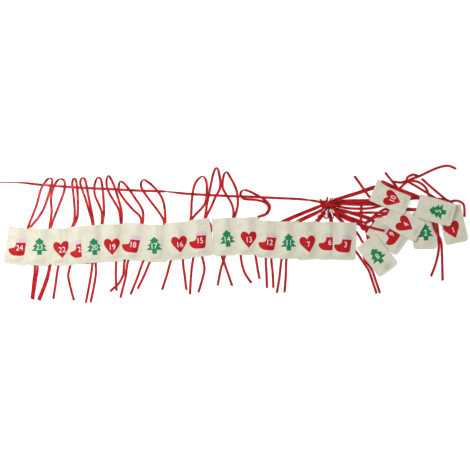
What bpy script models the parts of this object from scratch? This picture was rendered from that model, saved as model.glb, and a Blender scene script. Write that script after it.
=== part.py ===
"""Felt advent calendar, lying on a table: 24 felt pouches, each hung by a satin ribbon on one long ribbon.

+X runs along the row of pouches, +Y from the pouches to the long ribbon, +Z up from the table.
Places on the table are given in steps of PIXEL, across and down from the table's upper left corner.
"""
import math

import bmesh
import bpy
from mathutils import Matrix, Vector

MM = 0.001
PIXEL = 4.0 * MM
ORIGIN_PIXEL = (235.85, 227.733)

POUCH_WIDTH = 94.0 * MM
POUCH_HEIGHT = 150.0 * MM
FELT = 1.4 * MM
SEAM = 5.0 * MM
BELLY = 6.6 * MM
BELLY_START = 26.0 * MM
POUCH_CORNER = 13.0 * MM
CORNER_SWELL_SHARE = 0.4

RIBBON_WIDTH = 10.0 * MM
RIBBON_THICKNESS = 0.4 * MM
GAP = 0.3 * MM
FLOOR_GAP = 0.1 * MM
LOW_EDGE = 1.5 * MM
FIRST_LOW_EDGE = 1.9 * MM
PULL = 6.0 * MM
MIDDLE_PULL = 12.0 * MM
LONG_PULL = 40.0 * MM
OWN_PULLS = {14: LONG_PULL, 15: LONG_PULL, 16: LONG_PULL, 17: MIDDLE_PULL, 20: MIDDLE_PULL, 21: MIDDLE_PULL}
LAP_MARGIN = 1.0 * MM
REST_GAP = 0.4 * MM
WIDE_REST_GAP = 0.7 * MM

KNOT_LENGTH = 72.0 * MM
KNOT_WIDTH = 50.0 * MM
KNOT_HEIGHT = 13.0 * MM
KNOT_BOTTOM = 3.6 * MM
KNOT_PIXEL = (328.0, 205.5)

LAYER = RIBBON_THICKNESS + GAP
LAYER_0 = FLOOR_GAP + RIBBON_THICKNESS / 2
EDGE_ROLL = math.radians(65)
STEEP_SHARE = 0.7
ARCH_SHARES = (1.0, 0.66, 0.33, 0.0, -0.33, -0.66, -1.0)
CORNER_ANGLES = (0.0, 45.0, 90.0)

# the row, left to right: number, middle across, middle down, turn in degrees
ROW = (
    (24, 17.9, 246.0, -9.0),
    (23, 39.6, 247.0, -5.0),
    (22, 61.8, 246.8, 0.0),
    (21, 80.5, 245.3, 0.0),
    (20, 93.2, 244.0, 4.0),
    (19, 112.5, 242.8, 0.0),
    (18, 134.5, 241.7, -6.0),
    (17, 156.0, 243.3, -1.0),
    (16, 177.9, 241.0, 4.5),
    (15, 200.0, 237.8, 7.5),
    (14, 224.2, 236.8, 2.0),
    (13, 247.4, 236.0, 2.0),
    (12, 268.0, 239.3, -4.0),
    (11, 288.5, 240.0, 2.0),
    (7, 307.0, 240.7, 5.0),
    (6, 327.5, 240.7, 0.0),
    (3, 344.2, 241.0, -2.0),
)

# the heap: number, middle across, middle down, turn in degrees, height of the back or of its low edge,
# how it lies and what lies under it
FLAT = "flat"
LEANING = "leaning"
HEAP = (
    (1, 452.9, 224.7, 13.0, 0.0, FLAT, ()),
    (2, 424.6, 230.4, 1.0, 0.0, FLAT, ()),
    (9, 387.7, 235.4, 54.0, 1.6 * MM, FLAT, ()),
    (8, 377.1, 255.5, 38.0, LOW_EDGE, LEANING, (9,)),
    (4, 403.5, 223.2, 60.0, LOW_EDGE, FLAT, (9, 2)),
    (10, 390.2, 197.4, 67.0, 3.2 * MM, LEANING, (4,)),
    (5, 434.8, 210.6, 74.0, LOW_EDGE, FLAT, (1, 2, 4)),
)
LEAN_SIDE = {8: -1.0, 10: 1.0}

# pouches that rest where the one below swells most, with more air for their collision pieces
WIDELY_RESTING = (4, 5, 11, 23)

EDGE = "edge"

# a hung ribbon: its left tail from the end up, its loop, its right tail down to the end
HUNG = {
    24: (
        [(31.6, 299), (33.6, 280), (34.6, 264), (28.6, 234)],
        [(27.6, 228.6), (32, 217), (36.9, 204), (40.7, 190), (45.2, 182), (49.6, 178.2, EDGE),
         (52.2, 180.6), (50.4, 189), (43.8, 208.5), (36.4, 220), (29.6, 228.6)],
        [(31.6, 234), (37.4, 264), (36.2, 278, 1), (34.6, 289, 1), (33.0, 299.6, 1)],
    ),
    23: (
        [(38, 300), (45.5, 281), (49.6, 263), (49.2, 236)],
        [(49.4, 229), (51.6, 212), (51, 202), (51.6, 194), (54, 186.5), (55.8, 182.8),
         (59.6, 179.2, EDGE),
         (64.2, 180.8), (64.6, 189), (60.7, 201), (54.4, 217), (50.6, 229)],
        [(52.0, 236), (52.8, 243), (52.9, 250, 1), (51.8, 257, 1), (50.5, 264.6, 1), (46.9, 281.4, 1),
         (39.5, 300.4, 1)],
    ),
    22: (
        [(53.3, 299), (55.8, 283), (58.5, 266), (67.4, 240)],
        [(71, 229), (74.2, 220.5), (74.6, 208), (73.2, 193), (72.2, 183.4), (74.0, 178.2, EDGE),
         (76.2, 181.4), (77.6, 193.4), (77.8, 213), (75.6, 222), (72.0, 229)],
        [(71.4, 240), (70.5, 264), (68.3, 277), (74, 300.5)],
    ),
    21: (
        [(90.0, 258), (90.2, 246), (91.0, 236)],
        [(92.7, 225.4), (90.2, 215), (85.2, 198), (81.4, 187.5), (80.2, 182), (82.4, 177.8, EDGE),
         (85.2, 180), (86.7, 187), (88.9, 198.6), (91.8, 213), (93.6, 225)],
        [(93.6, 238), (92.6, 262), (89.6, 283), (85.7, 303)],
    ),
    20: (
        [(90.5, 302.5), (93.8, 287), (96.0, 272), (95.6, 258), (99, 238)],
        [(101.4, 224.8), (101.8, 213), (98.2, 203), (94.8, 195), (94.4, 187), (94.9, 183.6),
         (97.4, 177.8, EDGE),
         (100.6, 179), (102.4, 187), (103.4, 198), (104.0, 213), (102.3, 224.6)],
        [(102.0, 236), (100.2, 250), (98.8, 257)],
    ),
    19: (
        [(116.5, 291), (115.8, 276), (116.4, 260), (119, 240)],
        [(120.7, 224.8), (119.2, 211.5), (114.9, 202.6), (109.4, 193.4), (106.6, 185),
         (107.4, 176.4, EDGE),
         (110.2, 177.6), (114.9, 188), (119.2, 202), (121.6, 213), (121.6, 224.4)],
        [(122.2, 238), (120.4, 250), (119.6, 256)],
    ),
    18: (
        [(110, 291.5), (114.2, 287.6, 1), (119.0, 283, 1), (123.4, 274), (125.0, 260), (134.8, 240)],
        [(141, 224.6), (139.6, 216), (133.3, 210), (124.7, 200), (119.0, 191.2), (118.8, 186.2),
         (120.2, 181.4, EDGE),
         (123.8, 183.2), (128.4, 188.6), (135.6, 199), (142.6, 210.7), (142.4, 224.4)],
        [(138.0, 240), (128.2, 261), (125.6, 277), (120.3, 298)],
    ),
    17: (
        [(130.5, 294.5), (137.6, 277), (143.7, 260.5), (156, 240)],
        [(163.6, 225.4), (161.4, 216), (151.4, 202.4), (143.8, 192), (140.8, 185), (143.2, 179.8, EDGE),
         (147.6, 181.8), (154.4, 187.6), (161.2, 196.6), (164.4, 207), (165, 225.2)],
        [(160.0, 240), (149.8, 262), (144.4, 275), (137.5, 289)],
    ),
    16: (
        [(162, 290), (167.2, 274), (171.5, 259), (182, 238)],
        [(190.3, 220), (191.5, 204.2), (193.0, 191), (196.0, 182), (202.4, 176.4, EDGE),
         (206.2, 181.4), (206.8, 192), (205, 203.4), (198.4, 211.6), (191.6, 220)],
        [(186.4, 238), (183.0, 259), (184.6, 275), (186.4, 290)],
    ),
    15: (
        [(190.0, 294.5), (191.0, 276), (193.5, 257), (199.4, 236)],
        [(204.6, 218.4), (207.0, 204), (209.2, 193), (211.4, 182), (213.8, 172), (216.6, 167.6, EDGE),
         (218.6, 172), (220.2, 181.4), (219.6, 189), (215.4, 197), (210.8, 207.6), (205.8, 218.2)],
        [(209.4, 222.6), (211.0, 227.6), (209.6, 235), (204.0, 249), (202.2, 257), (204.4, 270),
         (198.3, 292.5)],
    ),
    14: (
        [(232.2, 286), (227.4, 272), (223.6, 261), (222.0, 254.6), (226.0, 238)],
        [(232.9, 218.6), (232.4, 206), (227.2, 196), (222.8, 188), (223.2, 177.6), (226.0, 171.8, EDGE),
         (229.4, 176), (234.4, 185), (237.2, 194), (237.6, 206), (234.2, 218.6)],
        [(229.8, 238), (225.4, 254), (224.2, 258.4, 1), (222.2, 264.4, 1), (220.6, 270), (217.6, 285.5)],
    ),
    13: (
        [(251.5, 283), (244.8, 273), (241.4, 261), (241.8, 250), (251.4, 232)],
        [(256.8, 218.0), (264.4, 215.2), (268.8, 208.6), (265.8, 203.0), (257.6, 200.2), (248.6, 199.4),
         (243.0, 198.4), (240.4, 193.4), (243.6, 190.0, EDGE), (248.4, 191.0), (255.2, 194.2),
         (264.0, 199.4), (269.8, 206.2), (266.4, 214), (258.3, 217.5)],
        [(254.8, 234), (255.5, 255), (259.5, 279)],
    ),
}

# a bunched ribbon from end to end: (across, down, height above the table in millimetres); at a fold it turns
# back on itself one layer higher
FOLD = "fold"
BUNCHED = {
    12: [(267.0, 288, 0.3), (266.4, 272, 0.3), (266.0, 257, 0.3), (270.4, 240, 0.3),
         (276.2, 226.5, 0.3), (283.0, 221.0, 0.3), (300.0, 213.6, 0.3), (314.0, 208.0, 0.3),
         (322.6, 205, 0.3, FOLD), (314.4, 209.0, 1.0), (300.4, 214.7, 1.0), (284.4, 222.0, 1.0),
         (279.2, 227.0, 1.0), (275.0, 240, 0.3), (271.4, 257, 0.3), (272.6, 272, 0.3),
         (273.4, 288, 0.3)],
    11: [(276.8, 293, 0.3), (279.6, 276, 0.3), (281.8, 258, 0.3), (288.0, 240, 0.3), (292.8, 228, 0.3),
         (295.4, 222.4, 0.3), (304.4, 217.5, 1.7), (315.0, 212.8, 1.7), (323, 209.1, 1.7, FOLD),
         (315.4, 213.8, 2.4), (305.4, 218.5, 2.4), (300.8, 221.0, 1.0), (297.6, 222.8, 1.0),
         (294.8, 228, 1.0), (291.6, 240, 0.3), (286.6, 258, 0.3), (285.8, 275, 0.3),
         (284.5, 292.5, 0.3)],
    7: [(303.2, 254, 0.3), (306.2, 244, 0.3), (311.0, 232, 0.3), (314.0, 223.6, 0.3),
        (318.6, 218.6, 0.3), (325.1, 212.8, 0.3, FOLD), (319.6, 219.4, 1.0), (315.6, 224.6, 1.0),
        (313.8, 232, 0.8), (310.6, 243, 0.3), (308.0, 254, 0.3)],
    6: [(325.8, 255, 0.3), (327.6, 243, 0.3), (330.2, 232, 0.3), (330.8, 223, 0.3),
        (330.0, 217.6, 0.3), (329.3, 212, 0.3, FOLD), (331.2, 217.6, 1.0), (332.0, 223, 1.0),
        (334.0, 232, 1.6), (331.8, 243, 0.3), (330.0, 255, 0.3)],
    3: [(343.0, 255, 0.3), (344.6, 243, 0.3), (345.4, 232, 0.3), (342.4, 223.4, 0.4),
        (338.6, 218.6, 1.7), (333.1, 213.2, 1.7, FOLD), (339.4, 218.0, 2.4), (343.8, 223.2, 1.4),
        (347.4, 231, 0.9), (348.8, 239.6, 0.3), (352.4, 246.8, 0.3), (357.4, 253.4, 0.3),
        (361.8, 260.0, 0.3), (365.6, 265.6, 0.3), (369.0, 271.2, 0.3), (372.6, 281.6, 0.3),
        (376.6, 293.6, 0.3)],
    8: [(356.0, 231.4, 0.3), (359.4, 236.4, 0.3), (363.6, 243.4, 0.3), (367.4, 243.4, 0.3),
        (369.0, 238.6, 0.3), (366.6, 229.0, 0.3), (358.0, 222.6, 0.3), (347.0, 218.2, 0.3),
        (337.6, 214, 0.3, FOLD), (346.6, 219.3, 1.0), (357.4, 223.7, 1.0), (365.4, 229.6, 1.0),
        (367.8, 238.8, 1.0), (370.4, 247.0, 0.8), (364.2, 254.6, 0.3), (365.1, 260.4, 0.3),
        (368.9, 265.4, 0.3), (372.3, 271.0, 0.3), (376.0, 281.4, 0.3), (380.0, 293.2, 0.3)],
    9: [(361.2, 204.0, 3.8), (361.1, 208.6, 3.8), (360.9, 213.0, 4.6), (360.7, 224.2, 4.6),
        (362.2, 228.6, 1.9), (365.4, 229.2, 1.7), (371.2, 226.0, 0.9), (373.4, 222.4, 0.3),
        (371.2, 218.6, 0.3), (362.0, 215.4, 0.3), (350.0, 212.0, 0.3), (335.2, 208.6, 0.3, FOLD),
        (350.0, 213.2, 1.0), (361.4, 216.6, 1.0), (370.6, 219.8, 1.0), (377.4, 223.6, 1.0),
        (384.0, 229.6, 0.8)],
    4: [(384.0, 230.8, 12.3), (376.0, 229.0, 12.3), (369.4, 227.2, 12.0), (365.2, 225.8, 8.0),
        (366.4, 222.2, 5.3), (371.2, 218.2, 5.3), (378.0, 212.8, 6.8), (384.8, 209.2, 8.6),
        (388.6, 211.2, 8.6), (385.0, 213.0, 7.4), (372.0, 212.6, 3.8), (356.0, 212.8, 3.1),
        (346.0, 212.4, 3.1), (336, 210.6, 3.1, FOLD), (346.0, 215.8, 3.8), (360.0, 221.0, 3.8),
        (366.8, 222.4, 4.2), (375.6, 216.9, 9.4), (380.6, 215.8, 8.6), (388.8, 213.9, 9.2),
        (394.0, 216.2, 9.4), (402.0, 220.4, 9.4), (409.0, 224.8, 9.4)],
    10: [(354.3, 176.0, 3.1), (361.0, 185.4, 3.1), (368.0, 195.2, 1.6), (372.2, 198.6, 0.3),
         (376.0, 196.0, 0.3), (377.4, 190.6, 0.3), (374.6, 186.6, 0.3), (362.0, 190.8, 0.3),
         (349.0, 195.0, 0.3), (334, 199.7, 0.3, FOLD), (349.4, 196.2, 1.0), (362.4, 192.0, 1.0),
         (374.4, 188.2, 1.0), (380.6, 188.0, 0.3), (388.0, 191.6, 0.3), (393.6, 194.0, 0.3),
         (398.2, 193.0, 0.3), (398.0, 189.0, 0.3), (392.4, 181.6, 0.3), (384.9, 172.4, 0.3)],
    2: [(419.0, 176.9, 2.4), (413.6, 174.6, 2.4), (407.6, 177.2, 2.4), (407.6, 181.2, 2.4),
        (416.0, 186.2, 1.0), (429.0, 194.2, 0.3), (437.6, 200.0, 0.3), (439.4, 203.4, 0.3),
        (435.8, 206.6, 0.3), (430.0, 208.5, 0.3), (418.0, 209.2, 0.3), (405.7, 208.6, 0.3),
        (390.0, 206.0, 0.3), (374.0, 203.6, 0.3), (356.0, 203.6, 0.3), (335.2, 203.6, 0.3, FOLD),
        (356.0, 204.7, 1.0), (374.0, 204.7, 1.0), (390.0, 207.1, 1.0), (405.6, 209.8, 1.0),
        (418.0, 209.9, 1.0), (426.4, 208.6, 1.0), (429.6, 203.4, 1.0), (429.0, 198.6, 1.0),
        (428.2, 193.6, 1.0), (425.0, 187.0, 1.7), (417.5, 181.8, 2.4), (408.0, 180.8, 3.1),
        (401.0, 182.5, 2.4), (393.0, 181.6, 1.0)],
    1: [(421.6, 178.6, 0.3), (435.4, 190.8, 0.3), (449.0, 201.8, 0.3), (452.6, 203.2, 0.3),
        (446.0, 199.8, 1.7), (434.0, 198.6, 1.7), (422.0, 197.0, 1.7), (404.0, 198.2, 1.7),
        (388.0, 199.6, 1.7), (369.0, 200.2, 1.7), (350.0, 200.4, 1.7), (335.2, 201, 1.7, FOLD),
        (350.0, 201.5, 2.4), (369.0, 201.3, 2.4), (388.0, 200.7, 2.4), (404.0, 199.4, 2.4),
        (422.0, 198.1, 2.4), (434.0, 200.2, 2.4), (444.0, 202.8, 1.7), (455.4, 200.6, 0.4),
        (463.1, 203.8, 0.3), (464.4, 211.0, 0.3), (464.48, 217.0, 0.3)],
    5: [(430.8, 276.5, 0.3), (435.6, 264.0, 0.3), (438.6, 250.0, 0.5), (438.2, 240.0, 3.9),
        (437.4, 229.0, 4.6), (434.0, 214.0, 12.1), (427.0, 203.6, 12.1), (419.4, 197.4, 11.6),
        (409.6, 193.2, 8.6), (398.4, 188.8, 8.6), (387.0, 183.6, 8.6), (381.3, 181.1, 8.6, FOLD),
        (386.4, 184.7, 9.3), (397.8, 189.9, 9.3), (409.0, 194.3, 9.3), (418.6, 199.0, 12.1),
        (424.0, 205.0, 12.1), (430.6, 215.6, 12.1), (434.4, 229.4, 9.4), (440.2, 240.0, 6.0),
        (441.8, 251.0, 0.3), (442.2, 264.0, 0.3), (442.6, 280.6, 0.3)],
}

# the long ribbon: (across, down, height in millimetres, turn on edge in degrees)
MAIN = [
    (-6, 182.4, 4.6, 65), (4, 182.5, 4.6, 65), (14, 182.6, 4.6, 65), (25, 183.0, 3.0, 40),
    (36, 184.3, 1.0, 0), (56, 186.0, 1.0, 0), (76, 187.4, 1.0, 0), (92, 188.3, 1.0, 0),
    (108, 189.0, 1.0, 0), (125, 189.9, 1.0, 0), (141, 190.7, 1.0, 0), (158, 191.2, 1.0, 0),
    (167, 191.7, 4.4, 60), (174, 192.4, 3.4, 45), (183, 193.4, 1.0, 0), (200, 194.6, 1.0, 0),
    (217.6, 195.5, 1.0, 0), (232, 196.2, 1.0, 0), (247, 196.6, 1.0, 0), (262, 197.3, 1.0, 0),
    (280, 198.2, 0.4, 0), (298, 199.0, 0.6, 0), (309, 200.2, 4.4, 50), (316, 201.2, 3.1, 0),
    (326, 203.2, 3.1, 0), (338, 206.2, 3.1, 0), (348, 208.2, 3.1, 0), (364.5, 208.6, 3.1, 0),
    (378.0, 206.6, 3.1, 0), (388.0, 202.0, 3.8, 0), (394.0, 195.6, 3.4, 0), (399.0, 189.0, 1.6, 0),
    (409.0, 180.4, 1.6, 0), (419.6, 176.0, 1.2, 0), (436, 168.4, 0.3, 0), (448, 165.8, 0.3, 0),
    (456, 169.0, 0.3, 0),
]


def on_table(across, down, height=0.0):
    """The point in metres of a place on the table."""
    x = (across - ORIGIN_PIXEL[0]) * PIXEL
    y = (ORIGIN_PIXEL[1] - down) * PIXEL
    return Vector((x, y, height))


def material(name, colour, roughness):
    """A plain material of that colour."""
    made = bpy.data.materials.new(name)
    made.use_nodes = True
    shader = made.node_tree.nodes["Principled BSDF"]
    shader.inputs["Base Color"].default_value = (*colour, 1.0)
    shader.inputs["Roughness"].default_value = roughness
    shader.inputs["Metallic"].default_value = 0.0
    return made


def add_object(name, mesh, finish):
    """One named object with its material in the scene."""
    mesh.materials.append(finish)
    made = bpy.data.objects.new(name, mesh)
    bpy.context.scene.collection.objects.link(made)
    return made


def swell(share):
    """How far the front layer stands off the back layer, at a share of the way from middle to seam."""
    return BELLY * math.cos(math.pi * share / 2) ** 2


def belly(x):
    """The same at x from the middle, on the straight lines between the ARCH_SHARES."""
    place = abs(x) / (POUCH_WIDTH / 2 - SEAM)
    for outer, inner in zip(ARCH_SHARES, ARCH_SHARES[1:]):
        if inner <= place <= outer:
            part = (outer - place) / (outer - inner)
            return swell(outer) + (swell(inner) - swell(outer)) * part
    return 0.0


def half_width(y):
    """Half the pouch's width at a height y over its bottom edge, with its round bottom corners."""
    if y >= POUCH_CORNER:
        return POUCH_WIDTH / 2
    rise = POUCH_CORNER - y
    return POUCH_WIDTH / 2 - POUCH_CORNER + math.sqrt(max(POUCH_CORNER**2 - rise**2, 0.0))


def outer_ring(y, fullness):
    """The pouch's outside at a height y, with the belly scaled by its fullness."""
    wide = half_width(y)
    inner = POUCH_WIDTH / 2 - SEAM
    points = [(-wide, 0.0), (wide, 0.0), (wide, 2 * FELT)]
    for share in ARCH_SHARES:
        x = share * min(inner, wide - SEAM)
        points.append((x, 2 * FELT + fullness * swell(share)))
    points.append((-wide, 2 * FELT))
    return [Vector((x, y - POUCH_HEIGHT / 2, z)) for x, z in points]


def inner_ring(y, fullness):
    """The pouch's hollow at a height y."""
    inner = POUCH_WIDTH / 2 - SEAM
    points = [(-inner, FELT), (inner, FELT)]
    for share in ARCH_SHARES[1:-1]:
        points.append((share * inner, FELT + fullness * swell(share)))
    return [Vector((x, y - POUCH_HEIGHT / 2, z)) for x, z in points]


def pouch_mesh():
    """One pouch: two layers of felt, closed at its sides and bottom and open at its mouth."""
    corner_rises = [POUCH_CORNER * (1 - math.cos(math.radians(a))) for a in CORNER_ANGLES]
    outside = [outer_ring(y, 0.0) for y in corner_rises[:2]]
    outside.append(outer_ring(POUCH_CORNER, CORNER_SWELL_SHARE))
    outside.append(outer_ring(BELLY_START, 1.0))
    outside.append(outer_ring(POUCH_HEIGHT, 1.0))
    inside = [inner_ring(POUCH_CORNER, CORNER_SWELL_SHARE)]
    inside.append(inner_ring(BELLY_START, 1.0))
    inside.append(inner_ring(POUCH_HEIGHT, 1.0))
    shape = bmesh.new()
    outer = [[shape.verts.new(p) for p in ring] for ring in outside]
    inner = [[shape.verts.new(p) for p in ring] for ring in inside]
    for rings in (outer, inner):
        for low, high in zip(rings, rings[1:]):
            count = len(low)
            for i in range(count):
                j = (i + 1) % count
                shape.faces.new((low[i], low[j], high[j], high[i]))
    shape.faces.new(outer[0])
    shape.faces.new(inner[0])
    lip_out = outer[-1]
    lip_in = inner[-1]
    shape.faces.new((lip_out[0], lip_out[1], lip_in[1], lip_in[0]))
    shape.faces.new((lip_out[1], lip_out[2], lip_out[3], lip_in[1]))
    front_in = [lip_in[1], *lip_in[2:], lip_in[0]]
    for i in range(len(front_in) - 1):
        shape.faces.new((lip_out[3 + i], lip_out[4 + i], front_in[i + 1], front_in[i]))
    shape.faces.new((lip_out[-2], lip_out[-1], lip_out[0], lip_in[0]))
    bmesh.ops.triangulate(shape, faces=shape.faces[:])
    bmesh.ops.recalc_face_normals(shape, faces=shape.faces[:])
    mesh = bpy.data.meshes.new("pouch")
    shape.to_mesh(mesh)
    shape.free()
    return mesh


def placement(across, down, turn, low, slope, side):
    """Where a pouch lies: its back leans up from its low edge, which is on the side +1 or -1."""
    lean = math.atan(slope) * side
    middle = on_table(across, down, low + abs(math.sin(lean)) * POUCH_WIDTH / 2)
    return (
        Matrix.Translation(middle)
        @ Matrix.Rotation(math.radians(turn), 4, "Z")
        @ Matrix.Rotation(lean, 4, "Y")
    )


def front_points(place):
    """Points spread over the front of a pouch that lies there."""
    steps_across = 30
    steps_up = 40
    points = []
    for i in range(steps_across + 1):
        x = (i / steps_across - 0.5) * POUCH_WIDTH
        for j in range(steps_up + 1):
            y = (j / steps_up - 0.5) * POUCH_HEIGHT
            points.append(place @ Vector((x, y, 2 * FELT + belly(x))))
    return points


def pulls(number, turn):
    """The shifts of a pouch at both ends of its pull, away from the long ribbon along its own length."""
    along = Matrix.Rotation(math.radians(turn), 4, "Z") @ Vector((0, -1, 0))
    return (Vector((0, 0, 0)), along * OWN_PULLS.get(number, PULL))


def rest_gap(number):
    """The air between a pouch and what it rests on."""
    return WIDE_REST_GAP if number in WIDELY_RESTING else REST_GAP


def needs(across, down, turn, own_pulls, below, gap):
    """The (distance across from the middle, height with the gap) of each point under a pouch."""
    turned = Matrix.Rotation(math.radians(turn), 4, "Z")
    frame = (Matrix.Translation(on_table(across, down)) @ turned).inverted()
    found = []
    for place, lower_pulls in below:
        for point in front_points(place):
            for own in own_pulls:
                for other in lower_pulls:
                    seen = frame @ (point + other - own)
                    near_x = abs(seen.x) <= POUCH_WIDTH / 2 + LAP_MARGIN
                    near_y = abs(seen.y) <= POUCH_HEIGHT / 2 + LAP_MARGIN
                    if near_x and near_y:
                        found.append((seen.x, point.z + gap))
    return found


def leaning_slope(points, low, side):
    """The least slope up from the low edge that clears every point."""
    slope = 0.0
    for x, height in points:
        away = max(POUCH_WIDTH / 2 - side * x, LAP_MARGIN)
        slope = max(slope, (height - low) / away)
    return slope


def lay_pouches():
    """Where every pouch lies: the row lapped from the left, then the heap from the bottom."""
    places = {}
    reaches = {}
    below = []
    for number, across, down, turn in ROW:
        reaches[number] = pulls(number, turn)
        if below:
            low = LOW_EDGE
            points = needs(across, down, turn, reaches[number], below, rest_gap(number))
            slope = leaning_slope(points, low, 1.0)
            places[number] = placement(across, down, turn, low, slope, 1.0)
        else:
            places[number] = placement(across, down, turn, 0.0, FIRST_LOW_EDGE / POUCH_WIDTH, -1.0)
        below = [(places[number], reaches[number])]
    for number, across, down, turn, low, manner, under in HEAP:
        reaches[number] = pulls(number, turn)
        lower = [(places[n], reaches[n]) for n in under]
        points = needs(across, down, turn, reaches[number], lower, rest_gap(number))
        side = LEAN_SIDE.get(number, 1.0)
        slope = 0.0
        if manner == LEANING:
            slope = leaning_slope(points, low, side)
        elif points:
            low = max(height for _, height in points)
        places[number] = placement(across, down, turn, low, slope, side)
    return places


def smooth(route):
    """A curve through the route's points, with one more point between each two; heights change evenly."""
    fine = []
    last = len(route) - 1
    for i in range(last):
        before = route[max(i - 1, 0)]
        start = route[i]
        end = route[i + 1]
        after = route[min(i + 2, last)]
        near = zip(before[:2], start[:2], end[:2], after[:2])
        between = [(9 * (b + c) - a - d) / 16 for a, b, c, d in near]
        between += [(b + c) / 2 for b, c in zip(start[2:], end[2:])]
        fine.append(start)
        fine.append(tuple(between))
    fine.append(route[last])
    return fine


def ribbon_mesh(name, route):
    """A flat ribbon along (x, y, z, turn on edge), square at both ends."""
    points = [Vector(step[:3]) for step in route]
    shape = bmesh.new()
    rings = []
    side = None
    for i, point in enumerate(points):
        ahead = (points[min(i + 1, len(points) - 1)] - points[max(i - 1, 0)]).normalized()
        flat = Vector((0, 0, 1)).cross(ahead)
        if side is not None:
            level = side - ahead * side.dot(ahead)
            if abs(ahead.z) > STEEP_SHARE:
                flat = level
            elif level.dot(flat) < 0:
                flat = -flat
        side = flat.normalized()
        up = ahead.cross(side)
        roll = route[i][3]
        across = (side * math.cos(roll) + up * math.sin(roll)) * RIBBON_WIDTH / 2
        out = ahead.cross(across).normalized() * RIBBON_THICKNESS / 2
        corners = (point + across + out, point - across + out, point - across - out, point + across - out)
        rings.append([shape.verts.new(corner) for corner in corners])
    for (a, b, c, d), (e, f, g, h) in zip(rings, rings[1:]):
        for triangle in ((a, e, f), (a, f, b), (d, g, h), (d, c, g), (a, d, h), (a, h, e),
        (b, f, g), (b, g, c)):
            shape.faces.new(triangle)
    for end in (rings[0], rings[-1]):
        shape.faces.new((end[0], end[1], end[2]))
        shape.faces.new((end[0], end[2], end[3]))
    bmesh.ops.recalc_face_normals(shape, faces=shape.faces[:])
    mesh = bpy.data.meshes.new(name)
    shape.to_mesh(mesh)
    shape.free()
    return mesh


def laid(place):
    """A place on a tail, which lies on the table unless the place names a higher layer."""
    x, y, layer = (*place, 0)[:3]
    return (x, y, LAYER_0 + layer * LAYER, 0.0)


def hung_route(left_tail, loop, right_tail):
    """A hung ribbon's whole route: the left strand lies low, the top stands on edge, the right lies high."""
    stand = RIBBON_WIDTH / 2 * math.sin(EDGE_ROLL) + LAYER_0
    top = next(i for i, place in enumerate(loop) if EDGE in place)
    route = [laid(place) for place in left_tail]
    for i, (x, y, *_) in enumerate(loop):
        if i == top:
            route.append((x, y, stand, EDGE_ROLL))
        elif i < top:
            route.append((x, y, LAYER_0, 0.0))
        elif i < len(loop) - 2:
            route.append((x, y, LAYER_0 + 2 * LAYER, 0.0))
        else:
            route.append((x, y, LAYER_0 + LAYER, 0.0))
    route += [laid(place) for place in right_tail]
    return route


def strands(route):
    """A route of (across, down, height in metres, turn in radians) in metres, cut at its folds."""
    cut = [[]]
    for x, y, z, roll, *fold in route:
        cut[-1].append((*on_table(x, y, z), roll))
        if fold:
            cut.append([(*on_table(x, y, z + LAYER), roll)])
    return cut


def around_fold(before, end):
    """The outermost step of a fold, half a layer above and beyond the end of the lower strand."""
    heading = (Vector(end[:2]) - Vector(before[:2])).normalized() * LAYER / 2
    return (end[0] + heading.x, end[1] + heading.y, end[2] + LAYER / 2, end[3])


def lay_ribbon(name, route, finish):
    """A ribbon object from its route on the table."""
    first, *later = strands(route)
    steps = smooth(first)
    for strand in later:
        steps.append(around_fold(steps[-2], steps[-1]))
        steps += smooth(strand)
    return add_object(name, ribbon_mesh(name, steps), finish)


def knot_mesh():
    """The bunch of knotted ribbon: a low lumpy heap with a flat underside."""
    rings = 9
    around = 22
    lumps = 5
    lump_share = 0.16
    twist_share = 3.0
    dome_share = 0.7
    shape = bmesh.new()
    made = []
    for i in range(rings):
        rise = i / rings
        ring = []
        for j in range(around):
            angle = 2 * math.pi * j / around
            swell = 1 + lump_share * math.cos(lumps * angle + twist_share * rise) * (1 - rise)
            reach = math.cos(rise * math.pi / 2) ** dome_share * swell
            x = KNOT_LENGTH / 2 * reach * math.cos(angle)
            y = KNOT_WIDTH / 2 * reach * math.sin(angle)
            z = KNOT_HEIGHT * math.sin(rise * math.pi / 2)
            ring.append(shape.verts.new((x, y, z)))
        made.append(ring)
    for low, high in zip(made, made[1:]):
        for i in range(around):
            j = (i + 1) % around
            shape.faces.new((low[i], low[j], high[j], high[i]))
    top = shape.verts.new((0, 0, KNOT_HEIGHT))
    for i in range(around):
        shape.faces.new((made[-1][i], made[-1][(i + 1) % around], top))
    shape.faces.new(made[0])
    bmesh.ops.triangulate(shape, faces=shape.faces[:])
    bmesh.ops.recalc_face_normals(shape, faces=shape.faces[:])
    mesh = bpy.data.meshes.new("bunch_knot")
    shape.to_mesh(mesh)
    shape.free()
    return mesh


def main():
    """Clears the scene and lays the calendar out."""
    for old in list(bpy.data.objects):
        bpy.data.objects.remove(old)
    felt = material("cream_felt", (0.66, 0.63, 0.51), 0.95)
    satin = material("red_satin", (0.60, 0.01, 0.02), 0.35)
    for number, place in lay_pouches().items():
        name = f"pouch_{number:02d}"
        pouch = add_object(name, pouch_mesh(), felt)
        pouch.matrix_world = place
    for number, (left_tail, loop, right_tail) in HUNG.items():
        lay_ribbon(f"ribbon_{number:02d}", hung_route(left_tail, loop, right_tail), satin)
    for number, route in BUNCHED.items():
        in_metres = [(x, y, z * MM, 0.0, *fold) for x, y, z, *fold in route]
        lay_ribbon(f"ribbon_{number:02d}", in_metres, satin)
    lay_ribbon("main_ribbon", [(x, y, z * MM, math.radians(turn)) for x, y, z, turn in MAIN], satin)
    knot = add_object("bunch_knot", knot_mesh(), satin)
    knot.matrix_world = Matrix.Translation(on_table(*KNOT_PIXEL, KNOT_BOTTOM))


main()
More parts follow.
